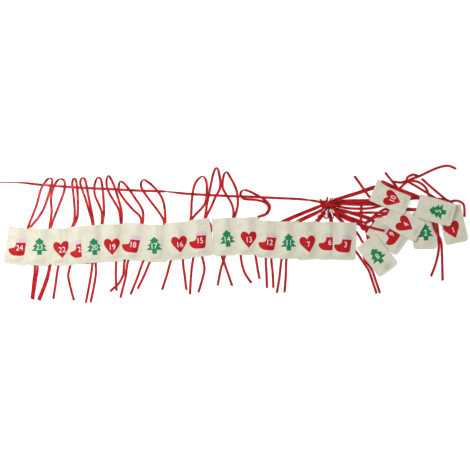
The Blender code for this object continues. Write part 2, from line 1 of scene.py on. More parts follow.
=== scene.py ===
# %% [markdown]
# # A felt advent calendar, laid out flat
#
# Twenty-four felt pouches hang by satin ribbon from one long ribbon. Here the whole thing lies on a
# table and is seen from straight above: most pouches in a row, the rest in a heap, and the ribbon
# bunched up in between. The sizes and places come from the CAD model, which is loaded first.
# Everything below is built around it, in metres, with Z up.

# %% Load the CAD model
import math
import random

import bmesh
import bpy
from mathutils import Matrix, Vector


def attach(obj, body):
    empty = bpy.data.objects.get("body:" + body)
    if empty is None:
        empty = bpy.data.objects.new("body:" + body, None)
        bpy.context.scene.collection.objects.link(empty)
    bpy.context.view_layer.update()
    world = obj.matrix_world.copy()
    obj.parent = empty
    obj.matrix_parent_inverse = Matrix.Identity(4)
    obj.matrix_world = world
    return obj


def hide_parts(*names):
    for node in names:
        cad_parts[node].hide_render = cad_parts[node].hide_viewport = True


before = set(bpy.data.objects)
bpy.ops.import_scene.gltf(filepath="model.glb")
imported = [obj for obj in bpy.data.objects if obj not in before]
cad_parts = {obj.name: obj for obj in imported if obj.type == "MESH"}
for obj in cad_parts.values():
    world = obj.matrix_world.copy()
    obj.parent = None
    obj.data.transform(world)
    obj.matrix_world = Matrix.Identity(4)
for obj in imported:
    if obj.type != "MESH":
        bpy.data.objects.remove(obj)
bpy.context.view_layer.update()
MM = 0.001
UP = Vector((0, 0, 1))
ROOT = "long_ribbon"

# %% [markdown]
# ## Places on the table
#
# The layout was read from above in steps of 4 mm, counted across and down from the upper left corner
# of what the camera sees. One small function turns such a place into a point in metres, so that every
# list of places below stays easy to compare with that view.

# %% From a place in the view to a point
STEP = 4.0 * MM
ORIGIN_PLACE = (235.85, 227.733)


def on_table(across, down, height=0.0):
    """The point in metres of a place in the view."""
    return Vector(((across - ORIGIN_PLACE[0]) * STEP, (ORIGIN_PLACE[1] - down) * STEP, height))


print("the view's upper left corner is at", tuple(round(c, 3) for c in on_table(0, 0)))

# %% [markdown]
# ## The camera
#
# A flat-lay picture is taken from straight above with a long lens, so that upright things hardly
# lean outwards. An 85 mm lens from 4.44 m up frames 1.88 m of table, which is what the view needs.

# %% Camera
LENS = 85.0
SENSOR = 36.0
VIEW_STEPS = 470
VIEW_WIDTH = VIEW_STEPS * STEP
VIEW_MIDDLE = (VIEW_STEPS / 2, VIEW_STEPS / 2)
FARTHEST_SEEN = 50.0

camera_data = bpy.data.cameras.new("camera_above")
camera_data.lens = LENS
camera_data.sensor_width = SENSOR
camera_data.clip_end = FARTHEST_SEEN
camera = bpy.data.objects.new("camera_above", camera_data)
camera.location = on_table(*VIEW_MIDDLE, VIEW_WIDTH * LENS / SENSOR)
bpy.context.scene.collection.objects.link(camera)
bpy.context.scene.camera = camera
print("camera height:", round(camera.location.z, 3), "m")

# %% [markdown]
# ## Colours and nodes
#
# Colours are written as the hex values a designer would note down. Blender's shaders work in linear
# light, so one function converts them. A second one adds a shader node, fills in its settings and
# links its inputs: all the materials below are built from these two. A colour ramp's two colours are
# settings that need a loop, so they have a parameter of their own.

# %% Helpers for materials


def linear(hex_colour):
    """An sRGB hex colour as the linear RGBA that a shader takes."""
    parts = [int(hex_colour[i:i + 2], 16) / 255 for i in (1, 3, 5)]
    light = [p / 12.92 if p <= 0.04045 else ((p + 0.055) / 1.055) ** 2.4 for p in parts]
    return (*light, 1.0)


def add_node(tree, kind, settings=None, stops=(), **inputs):
    """Adds a node. An input is a value, or another node's output socket to link from. Inputs are
    named as in Blender with _ for a space, or i0, i1 and so on by number. Each stop of a colour ramp
    is a position and a hex colour."""
    node = tree.nodes.new(kind)
    for name, value in (settings or {}).items():
        setattr(node, name, value)
    for i, (position, hex_colour) in enumerate(stops):
        point = node.color_ramp.elements[i]
        point.position, point.color = position, linear(hex_colour)
    for name, value in inputs.items():
        key = int(name[1:]) if name[1:].isdigit() else name.replace("_", " ")
        if isinstance(value, bpy.types.NodeSocket):
            tree.links.new(value, node.inputs[key])
        else:
            node.inputs[key].default_value = value
    return node


def new_material(name):
    """A material whose node tree is still empty, and that tree."""
    made = bpy.data.materials.new(name)
    made.use_nodes = True
    made.node_tree.nodes.clear()
    return made, made.node_tree


print("a mid grey, #808080, is", round(linear("#808080")[0], 3), "in linear light")

# %% [markdown]
# ## Wool felt
#
# The pouches are cut from needled wool felt about 1.4 mm thick: short crimped fibres, matted by
# barbed needles, with no weave and no shine. The eye reads it by four things: a faint cloudiness
# where the fibres lie denser, low tufts, fine hairs in every direction, and a soft sheen at grazing
# angles where loose fibres catch the light. A rough surface with no metal in it and a little sheen
# gives these. A real hair is 0.02 mm thick, far too fine to see here, so the hairs are drawn about
# 1 mm apart.

# %% Material: needled wool felt
FELT_ROUGHNESS = 0.95
FELT_SHEEN = 0.25
FELT_SHEEN_ROUGHNESS = 0.6
FELT_CLOUDS = 28.0 * MM
FELT_TUFTS = 4.0 * MM
FELT_TUFT_HEIGHT = 0.9 * MM
FELT_HAIRS = 1.1 * MM
FELT_HAIR_HEIGHT = 0.35 * MM
FELT_HAIR_SHARE = 0.55


def wool_felt(name, pale, dark, sheen_tint):
    """Matted wool in two close shades, with cloudy density and fine crossing hairs."""
    made, tree = new_material(name)
    place = add_node(tree, "ShaderNodeTexCoord").outputs["Object"]
    clouds = add_node(
        tree, "ShaderNodeTexNoise", Vector=place, Scale=1 / FELT_CLOUDS, Detail=4.0, Roughness=0.6
    ).outputs["Fac"]
    hairs = add_node(
        tree, "ShaderNodeTexNoise", Vector=place, Scale=1 / FELT_HAIRS, Detail=3.0, Distortion=2.2
    ).outputs["Fac"]
    tufts = add_node(
        tree, "ShaderNodeTexNoise", Vector=place, Scale=1 / FELT_TUFTS, Detail=5.0, Roughness=0.7
    ).outputs["Fac"]
    both = add_node(
        tree, "ShaderNodeMix", {"data_type": "FLOAT"}, i0=FELT_HAIR_SHARE, i2=clouds, i3=hairs
    ).outputs[0]
    colour = add_node(
        tree, "ShaderNodeValToRGB", stops=[(0.34, dark), (0.60, pale)], Fac=both
    ).outputs["Color"]
    lumps = add_node(
        tree, "ShaderNodeBump", Height=tufts, Strength=0.8, Distance=FELT_TUFT_HEIGHT
    ).outputs["Normal"]
    bump = add_node(
        tree, "ShaderNodeBump", Height=hairs, Strength=0.7, Distance=FELT_HAIR_HEIGHT, Normal=lumps
    ).outputs["Normal"]
    shader = add_node(
        tree, "ShaderNodeBsdfPrincipled", Base_Color=colour, Roughness=FELT_ROUGHNESS, Normal=bump,
        Sheen_Weight=FELT_SHEEN, Sheen_Roughness=FELT_SHEEN_ROUGHNESS, Sheen_Tint=linear(sheen_tint),
    )
    add_node(tree, "ShaderNodeOutputMaterial", Surface=shader.outputs["BSDF"])
    return made


cream_felt = wool_felt("needled_wool_felt_cream", "#E9E6D4", "#D3CEB6", "#FFF8E8")
print("felt clouds every", FELT_CLOUDS / MM, "mm, hairs every", round(FELT_HAIRS / MM, 1), "mm")

# %% [markdown]
# ## Satin ribbon
#
# The ribbon is 10 mm double-faced polyester satin, woven so that long smooth threads lie on both
# faces. Those threads all run along the ribbon, so light slides off in a streak across them. Towards
# both edges the colour is darkened, as painted shade. A limp ribbon never lies quite flat either: long
# ripples make it brighter here and darker there, which is painted light and shade in the colour, with
# a bump that follows the same ripples. The threads are about 0.15 mm apart; they are drawn every
# 0.8 mm, so that a close view still shows them.

# %% Material: polyester satin
RIBBON_WIDTH = 10.0 * MM
RIBBON_THICKNESS = 0.4 * MM
SATIN_ROUGHNESS = 0.3
SATIN_SHINE = 0.3
SATIN_ANISOTROPY = 0.55
SATIN_THREAD = 0.8 * MM
SATIN_THREAD_RUN = 40 * SATIN_THREAD
SATIN_THREAD_HEIGHT = 0.08 * MM
SATIN_RIPPLE = 34.0 * MM
SATIN_RIPPLE_HEIGHT = 4.0 * MM
RIPPLE_ACROSS = 0.3

# most of a noise lies in this range
NOISE_RANGE = {"From_Min": 0.3, "From_Max": 0.7}


def polyester_satin(name, middle, edge):
    """Satin with painted shade towards both edges and painted light and shade from long ripples;
    its UV map is in metres, across and along.
    """
    made, tree = new_material(name)
    place = add_node(tree, "ShaderNodeUVMap", {"uv_map": "ribbon"}).outputs["UV"]
    across = add_node(tree, "ShaderNodeSeparateXYZ", Vector=place).outputs["X"]
    share = add_node(
        tree, "ShaderNodeMath", {"operation": "DIVIDE"}, i0=across, i1=RIBBON_WIDTH
    ).outputs[0]
    off_middle = add_node(tree, "ShaderNodeMath", {"operation": "ABSOLUTE"}, i0=share).outputs[0]
    # painted shade: the colour darkens from the middle towards both edges of the ribbon
    body = add_node(
        tree, "ShaderNodeValToRGB", stops=[(0.34, middle), (0.45, edge)], Fac=off_middle
    ).outputs["Color"]
    streaks = add_node(
        tree, "ShaderNodeMapping", Vector=place, Scale=(1 / SATIN_THREAD, 1 / SATIN_THREAD_RUN, 1.0)
    ).outputs[0]
    threads = add_node(
        tree, "ShaderNodeTexNoise", Vector=streaks, Scale=1.0, Detail=2.0
    ).outputs["Fac"]
    stretched = add_node(
        tree, "ShaderNodeMapping", Vector=place,
        Scale=(RIPPLE_ACROSS / SATIN_RIPPLE, 1 / SATIN_RIPPLE, 1.0),
    ).outputs[0]
    ripples = add_node(
        tree, "ShaderNodeTexNoise", Vector=stretched, Scale=1.0, Detail=1.0
    ).outputs["Fac"]
    fine_shade = add_node(
        tree, "ShaderNodeMapRange", Value=threads, **NOISE_RANGE, To_Min=0.9, To_Max=1.06
    ).outputs[0]
    # painted light and shade: the long ripples brighten and darken the colour itself
    painted_ripple_light_and_shade = add_node(
        tree, "ShaderNodeMapRange", Value=ripples, **NOISE_RANGE, To_Min=0.4, To_Max=1.35
    ).outputs[0]
    shade = add_node(
        tree, "ShaderNodeMath", {"operation": "MULTIPLY"}, i0=fine_shade, i1=painted_ripple_light_and_shade
    ).outputs[0]
    colour = add_node(
        tree, "ShaderNodeVectorMath", {"operation": "SCALE"}, i0=body, Scale=shade
    ).outputs[0]
    waves = add_node(
        tree, "ShaderNodeBump", Height=ripples, Strength=1.0, Distance=SATIN_RIPPLE_HEIGHT
    ).outputs["Normal"]
    bump = add_node(
        tree, "ShaderNodeBump", Height=threads, Strength=0.25, Distance=SATIN_THREAD_HEIGHT,
        Normal=waves,
    ).outputs["Normal"]
    along = add_node(
        tree, "ShaderNodeTangent", {"direction_type": "UV_MAP", "uv_map": "ribbon"}
    ).outputs[0]
    shader = add_node(
        tree, "ShaderNodeBsdfPrincipled", Base_Color=colour, Roughness=SATIN_ROUGHNESS,
        Anisotropic=SATIN_ANISOTROPY, Specular_IOR_Level=SATIN_SHINE, Normal=bump, Tangent=along,
    )
    add_node(tree, "ShaderNodeOutputMaterial", Surface=shader.outputs["BSDF"])
    return made


# CB0713 is the ribbon's red; #8A040C is the painted shade at its edges
red_satin = polyester_satin("polyester_satin_red", "#CB0713", "#8A040C")
print("satin threads drawn every", SATIN_THREAD / MM, "mm")

# %% [markdown]
# ## Where each ribbon runs
#
# Each pouch has a ribbon of its own, tied at the pouch's mouth: a loop that the long ribbon runs
# through, and two loose tails behind the pouch. In the row the loops lie open. In the middle they
# are drawn together into a bunch, and in the heap they trail over and under each other. The points
# below follow each ribbon from one cut end to the other, and they are the ones that the CAD model
# was made from.

# %% Names of bodies and marks in the routes
# EDGE marks the top of a loop, which stands on its edge; at FOLD a ribbon turns back on itself
EDGE = "edge"
FOLD = "fold"


def body_of_pouch(number):
    """The CAD body that a pouch and its ribbon move with."""
    return f"pouch_{number:02d}_on_ribbon"


print("a pouch rides on a body such as", body_of_pouch(24))

# %% Routes of the hung ribbons: left tail, loop, right tail
# Each place is across and down. In a tail, a third number says how many layers up the ribbon lies.
HUNG = {
    24: (
        [(31.6, 299), (33.6, 280), (34.6, 264), (28.6, 234)],
        [(27.6, 228.6), (32, 217), (36.9, 204), (40.7, 190), (45.2, 182), (49.6, 178.2, EDGE),
         (52.2, 180.6), (50.4, 189), (43.8, 208.5), (36.4, 220), (29.6, 228.6)],
        [(31.6, 234), (37.4, 264), (36.2, 278, 1), (34.6, 289, 1), (33.0, 299.6, 1)],
    ),
    23: (
        [(38, 300), (45.5, 281), (49.6, 263), (49.2, 236)],
        [(49.4, 229), (51.6, 212), (51, 202), (51.6, 194), (54, 186.5), (55.8, 182.8),
         (59.6, 179.2, EDGE),
         (64.2, 180.8), (64.6, 189), (60.7, 201), (54.4, 217), (50.6, 229)],
        [(52.0, 236), (52.8, 243), (52.9, 250, 1), (51.8, 257, 1), (50.5, 264.6, 1), (46.9, 281.4, 1),
         (39.5, 300.4, 1)],
    ),
    22: (
        [(53.3, 299), (55.8, 283), (58.5, 266), (67.4, 240)],
        [(71, 229), (74.2, 220.5), (74.6, 208), (73.2, 193), (72.2, 183.4), (74.0, 178.2, EDGE),
         (76.2, 181.4), (77.6, 193.4), (77.8, 213), (75.6, 222), (72.0, 229)],
        [(71.4, 240), (70.5, 264), (68.3, 277), (74, 300.5)],
    ),
    21: (
        [(90.0, 258), (90.2, 246), (91.0, 236)],
        [(92.7, 225.4), (90.2, 215), (85.2, 198), (81.4, 187.5), (80.2, 182), (82.4, 177.8, EDGE),
         (85.2, 180), (86.7, 187), (88.9, 198.6), (91.8, 213), (93.6, 225)],
        [(93.6, 238), (92.6, 262), (89.6, 283), (85.7, 303)],
    ),
    20: (
        [(90.5, 302.5), (93.8, 287), (96.0, 272), (95.6, 258), (99, 238)],
        [(101.4, 224.8), (101.8, 213), (98.2, 203), (94.8, 195), (94.4, 187), (94.9, 183.6),
         (97.4, 177.8, EDGE),
         (100.6, 179), (102.4, 187), (103.4, 198), (104.0, 213), (102.3, 224.6)],
        [(102.0, 236), (100.2, 250), (98.8, 257)],
    ),
    19: (
        [(116.5, 291), (115.8, 276), (116.4, 260), (119, 240)],
        [(120.7, 224.8), (119.2, 211.5), (114.9, 202.6), (109.4, 193.4), (106.6, 185),
         (107.4, 176.4, EDGE),
         (110.2, 177.6), (114.9, 188), (119.2, 202), (121.6, 213), (121.6, 224.4)],
        [(122.2, 238), (120.4, 250), (119.6, 256)],
    ),
    18: (
        [(110, 291.5), (114.2, 287.6, 1), (119.0, 283, 1), (123.4, 274), (125.0, 260), (134.8, 240)],
        [(141, 224.6), (139.6, 216), (133.3, 210), (124.7, 200), (119.0, 191.2), (118.8, 186.2),
         (120.2, 181.4, EDGE),
         (123.8, 183.2), (128.4, 188.6), (135.6, 199), (142.6, 210.7), (142.4, 224.4)],
        [(138.0, 240), (128.2, 261), (125.6, 277), (120.3, 298)],
    ),
    17: (
        [(130.5, 294.5), (137.6, 277), (143.7, 260.5), (156, 240)],
        [(163.6, 225.4), (161.4, 216), (151.4, 202.4), (143.8, 192), (140.8, 185), (143.2, 179.8, EDGE),
         (147.6, 181.8), (154.4, 187.6), (161.2, 196.6), (164.4, 207), (165, 225.2)],
        [(160.0, 240), (149.8, 262), (144.4, 275), (137.5, 289)],
    ),
    16: (
        [(162, 290), (167.2, 274), (171.5, 259), (182, 238)],
        [(190.3, 220), (191.5, 204.2), (193.0, 191), (196.0, 182), (202.4, 176.4, EDGE),
         (206.2, 181.4), (206.8, 192), (205, 203.4), (198.4, 211.6), (191.6, 220)],
        [(186.4, 238), (183.0, 259), (184.6, 275), (186.4, 290)],
    ),
    15: (
        [(190.0, 294.5), (191.0, 276), (193.5, 257), (199.4, 236)],
        [(204.6, 218.4), (207.0, 204), (209.2, 193), (211.4, 182), (213.8, 172), (216.6, 167.6, EDGE),
         (218.6, 172), (220.2, 181.4), (219.6, 189), (215.4, 197), (210.8, 207.6), (205.8, 218.2)],
        [(209.4, 222.6), (211.0, 227.6), (209.6, 235), (204.0, 249), (202.2, 257), (204.4, 270),
         (198.3, 292.5)],
    ),
    14: (
        [(232.2, 286), (227.4, 272), (223.6, 261), (222.0, 254.6), (226.0, 238)],
        [(232.9, 218.6), (232.4, 206), (227.2, 196), (222.8, 188), (223.2, 177.6), (226.0, 171.8, EDGE),
         (229.4, 176), (234.4, 185), (237.2, 194), (237.6, 206), (234.2, 218.6)],
        [(229.8, 238), (225.4, 254), (224.2, 258.4, 1), (222.2, 264.4, 1), (220.6, 270), (217.6, 285.5)],
    ),
    13: (
        [(251.5, 283), (244.8, 273), (241.4, 261), (241.8, 250), (251.4, 232)],
        [(256.8, 218.0), (264.4, 215.2), (268.8, 208.6), (265.8, 203.0), (257.6, 200.2), (248.6, 199.4),
         (243.0, 198.4), (240.4, 193.4), (243.6, 190.0, EDGE), (248.4, 191.0), (255.2, 194.2),
         (264.0, 199.4), (269.8, 206.2), (266.4, 214), (258.3, 217.5)],
        [(254.8, 234), (255.5, 255), (259.5, 279)],
    ),
}
print("hung ribbons:", len(HUNG))

# %% Routes of the bunched ribbons: across, down, height in mm
BUNCHED = {
    12: [(267.0, 288, 0.3), (266.4, 272, 0.3), (266.0, 257, 0.3), (270.4, 240, 0.3),
         (276.2, 226.5, 0.3), (283.0, 221.0, 0.3), (300.0, 213.6, 0.3), (314.0, 208.0, 0.3),
         (322.6, 205, 0.3, FOLD), (314.4, 209.0, 1.0), (300.4, 214.7, 1.0), (284.4, 222.0, 1.0),
         (279.2, 227.0, 1.0), (275.0, 240, 0.3), (271.4, 257, 0.3), (272.6, 272, 0.3),
         (273.4, 288, 0.3)],
    11: [(276.8, 293, 0.3), (279.6, 276, 0.3), (281.8, 258, 0.3), (288.0, 240, 0.3), (292.8, 228, 0.3),
         (295.4, 222.4, 0.3), (304.4, 217.5, 1.7), (315.0, 212.8, 1.7), (323, 209.1, 1.7, FOLD),
         (315.4, 213.8, 2.4), (305.4, 218.5, 2.4), (300.8, 221.0, 1.0), (297.6, 222.8, 1.0),
         (294.8, 228, 1.0), (291.6, 240, 0.3), (286.6, 258, 0.3), (285.8, 275, 0.3),
         (284.5, 292.5, 0.3)],
    7: [(303.2, 254, 0.3), (306.2, 244, 0.3), (311.0, 232, 0.3), (314.0, 223.6, 0.3),
        (318.6, 218.6, 0.3), (325.1, 212.8, 0.3, FOLD), (319.6, 219.4, 1.0), (315.6, 224.6, 1.0),
        (313.8, 232, 0.8), (310.6, 243, 0.3), (308.0, 254, 0.3)],
    6: [(325.8, 255, 0.3), (327.6, 243, 0.3), (330.2, 232, 0.3), (330.8, 223, 0.3),
        (330.0, 217.6, 0.3), (329.3, 212, 0.3, FOLD), (331.2, 217.6, 1.0), (332.0, 223, 1.0),
        (334.0, 232, 1.6), (331.8, 243, 0.3), (330.0, 255, 0.3)],
    3: [(343.0, 255, 0.3), (344.6, 243, 0.3), (345.4, 232, 0.3), (342.4, 223.4, 0.4),
        (338.6, 218.6, 1.7), (333.1, 213.2, 1.7, FOLD), (339.4, 218.0, 2.4), (343.8, 223.2, 1.4),
        (347.4, 231, 0.9), (348.8, 239.6, 0.3), (352.4, 246.8, 0.3), (357.4, 253.4, 0.3),
        (361.8, 260.0, 0.3), (365.6, 265.6, 0.3), (369.0, 271.2, 0.3), (372.6, 281.6, 0.3),
        (376.6, 293.6, 0.3)],
    8: [(356.0, 231.4, 0.3), (359.4, 236.4, 0.3), (363.6, 243.4, 0.3), (367.4, 243.4, 0.3),
        (369.0, 238.6, 0.3), (366.6, 229.0, 0.3), (358.0, 222.6, 0.3), (347.0, 218.2, 0.3),
        (337.6, 214, 0.3, FOLD), (346.6, 219.3, 1.0), (357.4, 223.7, 1.0), (365.4, 229.6, 1.0),
        (367.8, 238.8, 1.0), (370.4, 247.0, 0.8), (364.2, 254.6, 0.3), (365.1, 260.4, 0.3),
        (368.9, 265.4, 0.3), (372.3, 271.0, 0.3), (376.0, 281.4, 0.3), (380.0, 293.2, 0.3)],
    9: [(361.2, 204.0, 3.8), (361.1, 208.6, 3.8), (360.9, 213.0, 4.6), (360.7, 224.2, 4.6),
        (362.2, 228.6, 1.9), (365.4, 229.2, 1.7), (371.2, 226.0, 0.9), (373.4, 222.4, 0.3),
        (371.2, 218.6, 0.3), (362.0, 215.4, 0.3), (350.0, 212.0, 0.3), (335.2, 208.6, 0.3, FOLD),
        (350.0, 213.2, 1.0), (361.4, 216.6, 1.0), (370.6, 219.8, 1.0), (377.4, 223.6, 1.0),
        (384.0, 229.6, 0.8)],
    4: [(384.0, 230.8, 12.3), (376.0, 229.0, 12.3), (369.4, 227.2, 12.0), (365.2, 225.8, 8.0),
        (366.4, 222.2, 5.3), (371.2, 218.2, 5.3), (378.0, 212.8, 6.8), (384.8, 209.2, 8.6),
        (388.6, 211.2, 8.6), (385.0, 213.0, 7.4), (372.0, 212.6, 3.8), (356.0, 212.8, 3.1),
        (346.0, 212.4, 3.1), (336, 210.6, 3.1, FOLD), (346.0, 215.8, 3.8), (360.0, 221.0, 3.8),
        (366.8, 222.4, 4.2), (375.6, 216.9, 9.4), (380.6, 215.8, 8.6), (388.8, 213.9, 9.2),
        (394.0, 216.2, 9.4), (402.0, 220.4, 9.4), (409.0, 224.8, 9.4)],
    10: [(354.3, 176.0, 3.1), (361.0, 185.4, 3.1), (368.0, 195.2, 1.6), (372.2, 198.6, 0.3),
         (376.0, 196.0, 0.3), (377.4, 190.6, 0.3), (374.6, 186.6, 0.3), (362.0, 190.8, 0.3),
         (349.0, 195.0, 0.3), (334, 199.7, 0.3, FOLD), (349.4, 196.2, 1.0), (362.4, 192.0, 1.0),
         (374.4, 188.2, 1.0), (380.6, 188.0, 0.3), (388.0, 191.6, 0.3), (393.6, 194.0, 0.3),
         (398.2, 193.0, 0.3), (398.0, 189.0, 0.3), (392.4, 181.6, 0.3), (384.9, 172.4, 0.3)],
    2: [(419.0, 176.9, 2.4), (413.6, 174.6, 2.4), (407.6, 177.2, 2.4), (407.6, 181.2, 2.4),
        (416.0, 186.2, 1.0), (429.0, 194.2, 0.3), (437.6, 200.0, 0.3), (439.4, 203.4, 0.3),
        (435.8, 206.6, 0.3), (430.0, 208.5, 0.3), (418.0, 209.2, 0.3), (405.7, 208.6, 0.3),
        (390.0, 206.0, 0.3), (374.0, 203.6, 0.3), (356.0, 203.6, 0.3), (335.2, 203.6, 0.3, FOLD),
        (356.0, 204.7, 1.0), (374.0, 204.7, 1.0), (390.0, 207.1, 1.0), (405.6, 209.8, 1.0),
        (418.0, 209.9, 1.0), (426.4, 208.6, 1.0), (429.6, 203.4, 1.0), (429.0, 198.6, 1.0),
        (428.2, 193.6, 1.0), (425.0, 187.0, 1.7), (417.5, 181.8, 2.4), (408.0, 180.8, 3.1),
        (401.0, 182.5, 2.4), (393.0, 181.6, 1.0)],
    1: [(421.6, 178.6, 0.3), (435.4, 190.8, 0.3), (449.0, 201.8, 0.3), (452.6, 203.2, 0.3),
        (446.0, 199.8, 1.7), (434.0, 198.6, 1.7), (422.0, 197.0, 1.7), (404.0, 198.2, 1.7),
        (388.0, 199.6, 1.7), (369.0, 200.2, 1.7), (350.0, 200.4, 1.7), (335.2, 201, 1.7, FOLD),
        (350.0, 201.5, 2.4), (369.0, 201.3, 2.4), (388.0, 200.7, 2.4), (404.0, 199.4, 2.4),
        (422.0, 198.1, 2.4), (434.0, 200.2, 2.4), (444.0, 202.8, 1.7), (455.4, 200.6, 0.4),
        (463.1, 203.8, 0.3), (464.4, 211.0, 0.3), (464.48, 217.0, 0.3)],
    5: [(430.8, 276.5, 0.3), (435.6, 264.0, 0.3), (438.6, 250.0, 0.5), (438.2, 240.0, 3.9),
        (437.4, 229.0, 4.6), (434.0, 214.0, 12.1), (427.0, 203.6, 12.1), (419.4, 197.4, 11.6),
        (409.6, 193.2, 8.6), (398.4, 188.8, 8.6), (387.0, 183.6, 8.6), (381.3, 181.1, 8.6, FOLD),
        (386.4, 184.7, 9.3), (397.8, 189.9, 9.3), (409.0, 194.3, 9.3), (418.6, 199.0, 12.1),
        (424.0, 205.0, 12.1), (430.6, 215.6, 12.1), (434.4, 229.4, 9.4), (440.2, 240.0, 6.0),
        (441.8, 251.0, 0.3), (442.2, 264.0, 0.3), (442.6, 280.6, 0.3)],
}
print("bunched ribbons:", len(BUNCHED))

# %% Route of the long ribbon: across, down, height in mm, turn on edge in degrees
MAIN = [
    (-6, 182.4, 4.6, 65), (4, 182.5, 4.6, 65), (14, 182.6, 4.6, 65), (25, 183.0, 3.0, 40),
    (36, 184.3, 1.0, 0), (56, 186.0, 1.0, 0), (76, 187.4, 1.0, 0), (92, 188.3, 1.0, 0),
    (108, 189.0, 1.0, 0), (125, 189.9, 1.0, 0), (141, 190.7, 1.0, 0), (158, 191.2, 1.0, 0),
    (167, 191.7, 4.4, 60), (174, 192.4, 3.4, 45), (183, 193.4, 1.0, 0), (200, 194.6, 1.0, 0),
    (217.6, 195.5, 1.0, 0), (232, 196.2, 1.0, 0), (247, 196.6, 1.0, 0), (262, 197.3, 1.0, 0),
    (280, 198.2, 0.4, 0), (298, 199.0, 0.6, 0), (309, 200.2, 4.4, 50), (316, 201.2, 3.1, 0),
    (326, 203.2, 3.1, 0), (338, 206.2, 3.1, 0), (348, 208.2, 3.1, 0), (364.5, 208.6, 3.1, 0),
    (378.0, 206.6, 3.1, 0), (388.0, 202.0, 3.8, 0), (394.0, 195.6, 3.4, 0), (399.0, 189.0, 1.6, 0),
    (409.0, 180.4, 1.6, 0), (419.6, 176.0, 1.2, 0), (436, 168.4, 0.3, 0), (448, 165.8, 0.3, 0),
    (456, 169.0, 0.3, 0),
]
print("ribbons:", len(HUNG) + len(BUNCHED) + 1)

# %% [markdown]
# ## From a route to steps in metres
#
# The lists above say where a ribbon runs, and here they get their heights. A hung ribbon crosses
# itself, so its strands lie in layers, a hair's breadth apart, and the top of the loop stands on
# edge. A bunched ribbon turns back on itself at its fold, one layer higher. Every route then gets a
# step halfway between each two, so that it bends as smoothly as the CAD ribbon does.

# %% Hung ribbons in metres
GAP = 0.3 * MM
FLOOR_GAP = 0.1 * MM
LAYER = RIBBON_THICKNESS + GAP
LAYER_0 = FLOOR_GAP + RIBBON_THICKNESS / 2
EDGE_ROLL = math.radians(65)
EDGE_HEIGHT = RIBBON_WIDTH / 2 * math.sin(EDGE_ROLL) + LAYER_0


def tail_steps(tail):
    """The steps of a loose tail, in layers as the list says."""
    return [(*place[:2], LAYER_0 + sum(place[2:3]) * LAYER, 0.0) for place in tail]


def loop_steps(loop):
    """The steps of a loop: the left strand lies low, the top on edge, the right strand over it."""
    top = next(i for i, place in enumerate(loop) if EDGE in place)
    steps = []
    for i, place in enumerate(loop):
        # past the top the strand crosses two layers up, and comes down to one at the pouch
        layer = 0 if i < top else 2 if i < len(loop) - 2 else 1
        rest = (EDGE_HEIGHT, EDGE_ROLL) if i == top else (LAYER_0 + layer * LAYER, 0.0)
        steps.append((*place[:2], *rest))
    return steps


def hung_route(left_tail, loop, right_tail):
    """A hung ribbon as steps of (x, y, z, roll)."""
    steps = tail_steps(left_tail) + loop_steps(loop) + tail_steps(right_tail)
    return [(*on_table(across, down, height), roll) for across, down, height, roll in steps]


print("the top of a loop is", round(EDGE_HEIGHT / MM, 1), "mm up")

# %% Smooth steps and folds


def halfway(route, i):
    """The step between steps i and i + 1 on a smooth curve; height and roll change evenly."""
    ends = route[max(i - 1, 0)], route[i], route[i + 1], route[min(i + 2, len(route) - 1)]
    plan = [(9 * (b + c) - a - d) / 16 for a, b, c, d in zip(*(step[:2] for step in ends))]
    rest = [(b + c) / 2 for b, c in zip(route[i][2:], route[i + 1][2:])]
    return (*plan, *rest)


def with_halves(route):
    """The route with one more step between each two."""
    fine = []
    for i in range(len(route) - 1):
        fine += [route[i], halfway(route, i)]
    return fine + [route[-1]]


def around_fold(before, end):
    """The outermost step of a fold, half a layer above and beyond the end of the lower strand."""
    onward = (Vector(end[:2]) - Vector(before[:2])).normalized() * LAYER / 2
    return (end[0] + onward.x, end[1] + onward.y, end[2] + LAYER / 2, end[3])


def folded_route(route):
    """A route with heights in mm as steps; at FOLD it turns back on itself one layer higher."""
    steps, strand = [], []
    for across, down, height, *more in route:
        roll = math.radians(more[0]) if more and more[0] != FOLD else 0.0
        strand.append((*on_table(across, down, height * MM), roll))
        if FOLD in more:
            steps += with_halves(strand)
            steps.append(around_fold(steps[-2], steps[-1]))
            strand = [(*on_table(across, down, height * MM + LAYER), roll)]
    return steps + with_halves(strand)


print("ribbon 24 has", len(with_halves(hung_route(*HUNG[24]))), "steps")

# %% [markdown]
# ## Which way a ribbon faces
#
# A ribbon could be a curve with a flat bevel, but Blender twists a curve's bevel by its own rules.
# Here a strip is built ring by ring instead, so that it is known at each point which way the flat
# side faces: up where it lies on the table, sideways where the loop stands on its edge, and turned
# over where the ribbon folds back on itself. A frame is a point and the direction across the ribbon.

# %% Frames along a ribbon
# a ribbon that climbs more steeply than this keeps its side instead of lying flat
STEEP = 0.7
RING_STEP = 4.0 * MM


def heading(points, i):
    """The unit vector along a line of points, at point i."""
    return (points[min(i + 1, len(points) - 1)] - points[max(i - 1, 0)]).normalized()


def ribbon_frames(route):
    """For each step the point and the unit vector across the ribbon, which never flips on the way."""
    points = [Vector(step[:3]) for step in route]
    frames = []
    side = None
    for i, point in enumerate(points):
        ahead = heading(points, i)
        flat = UP.cross(ahead)
        if side is not None:
            level = side - ahead * side.dot(ahead)
            if abs(ahead.z) > STEEP:
                flat = level
            elif level.dot(flat) < 0:
                flat = -flat
        side = flat.normalized()
        roll = route[i][3]
        frames.append((point, side * math.cos(roll) + ahead.cross(side) * math.sin(roll)))
    return frames


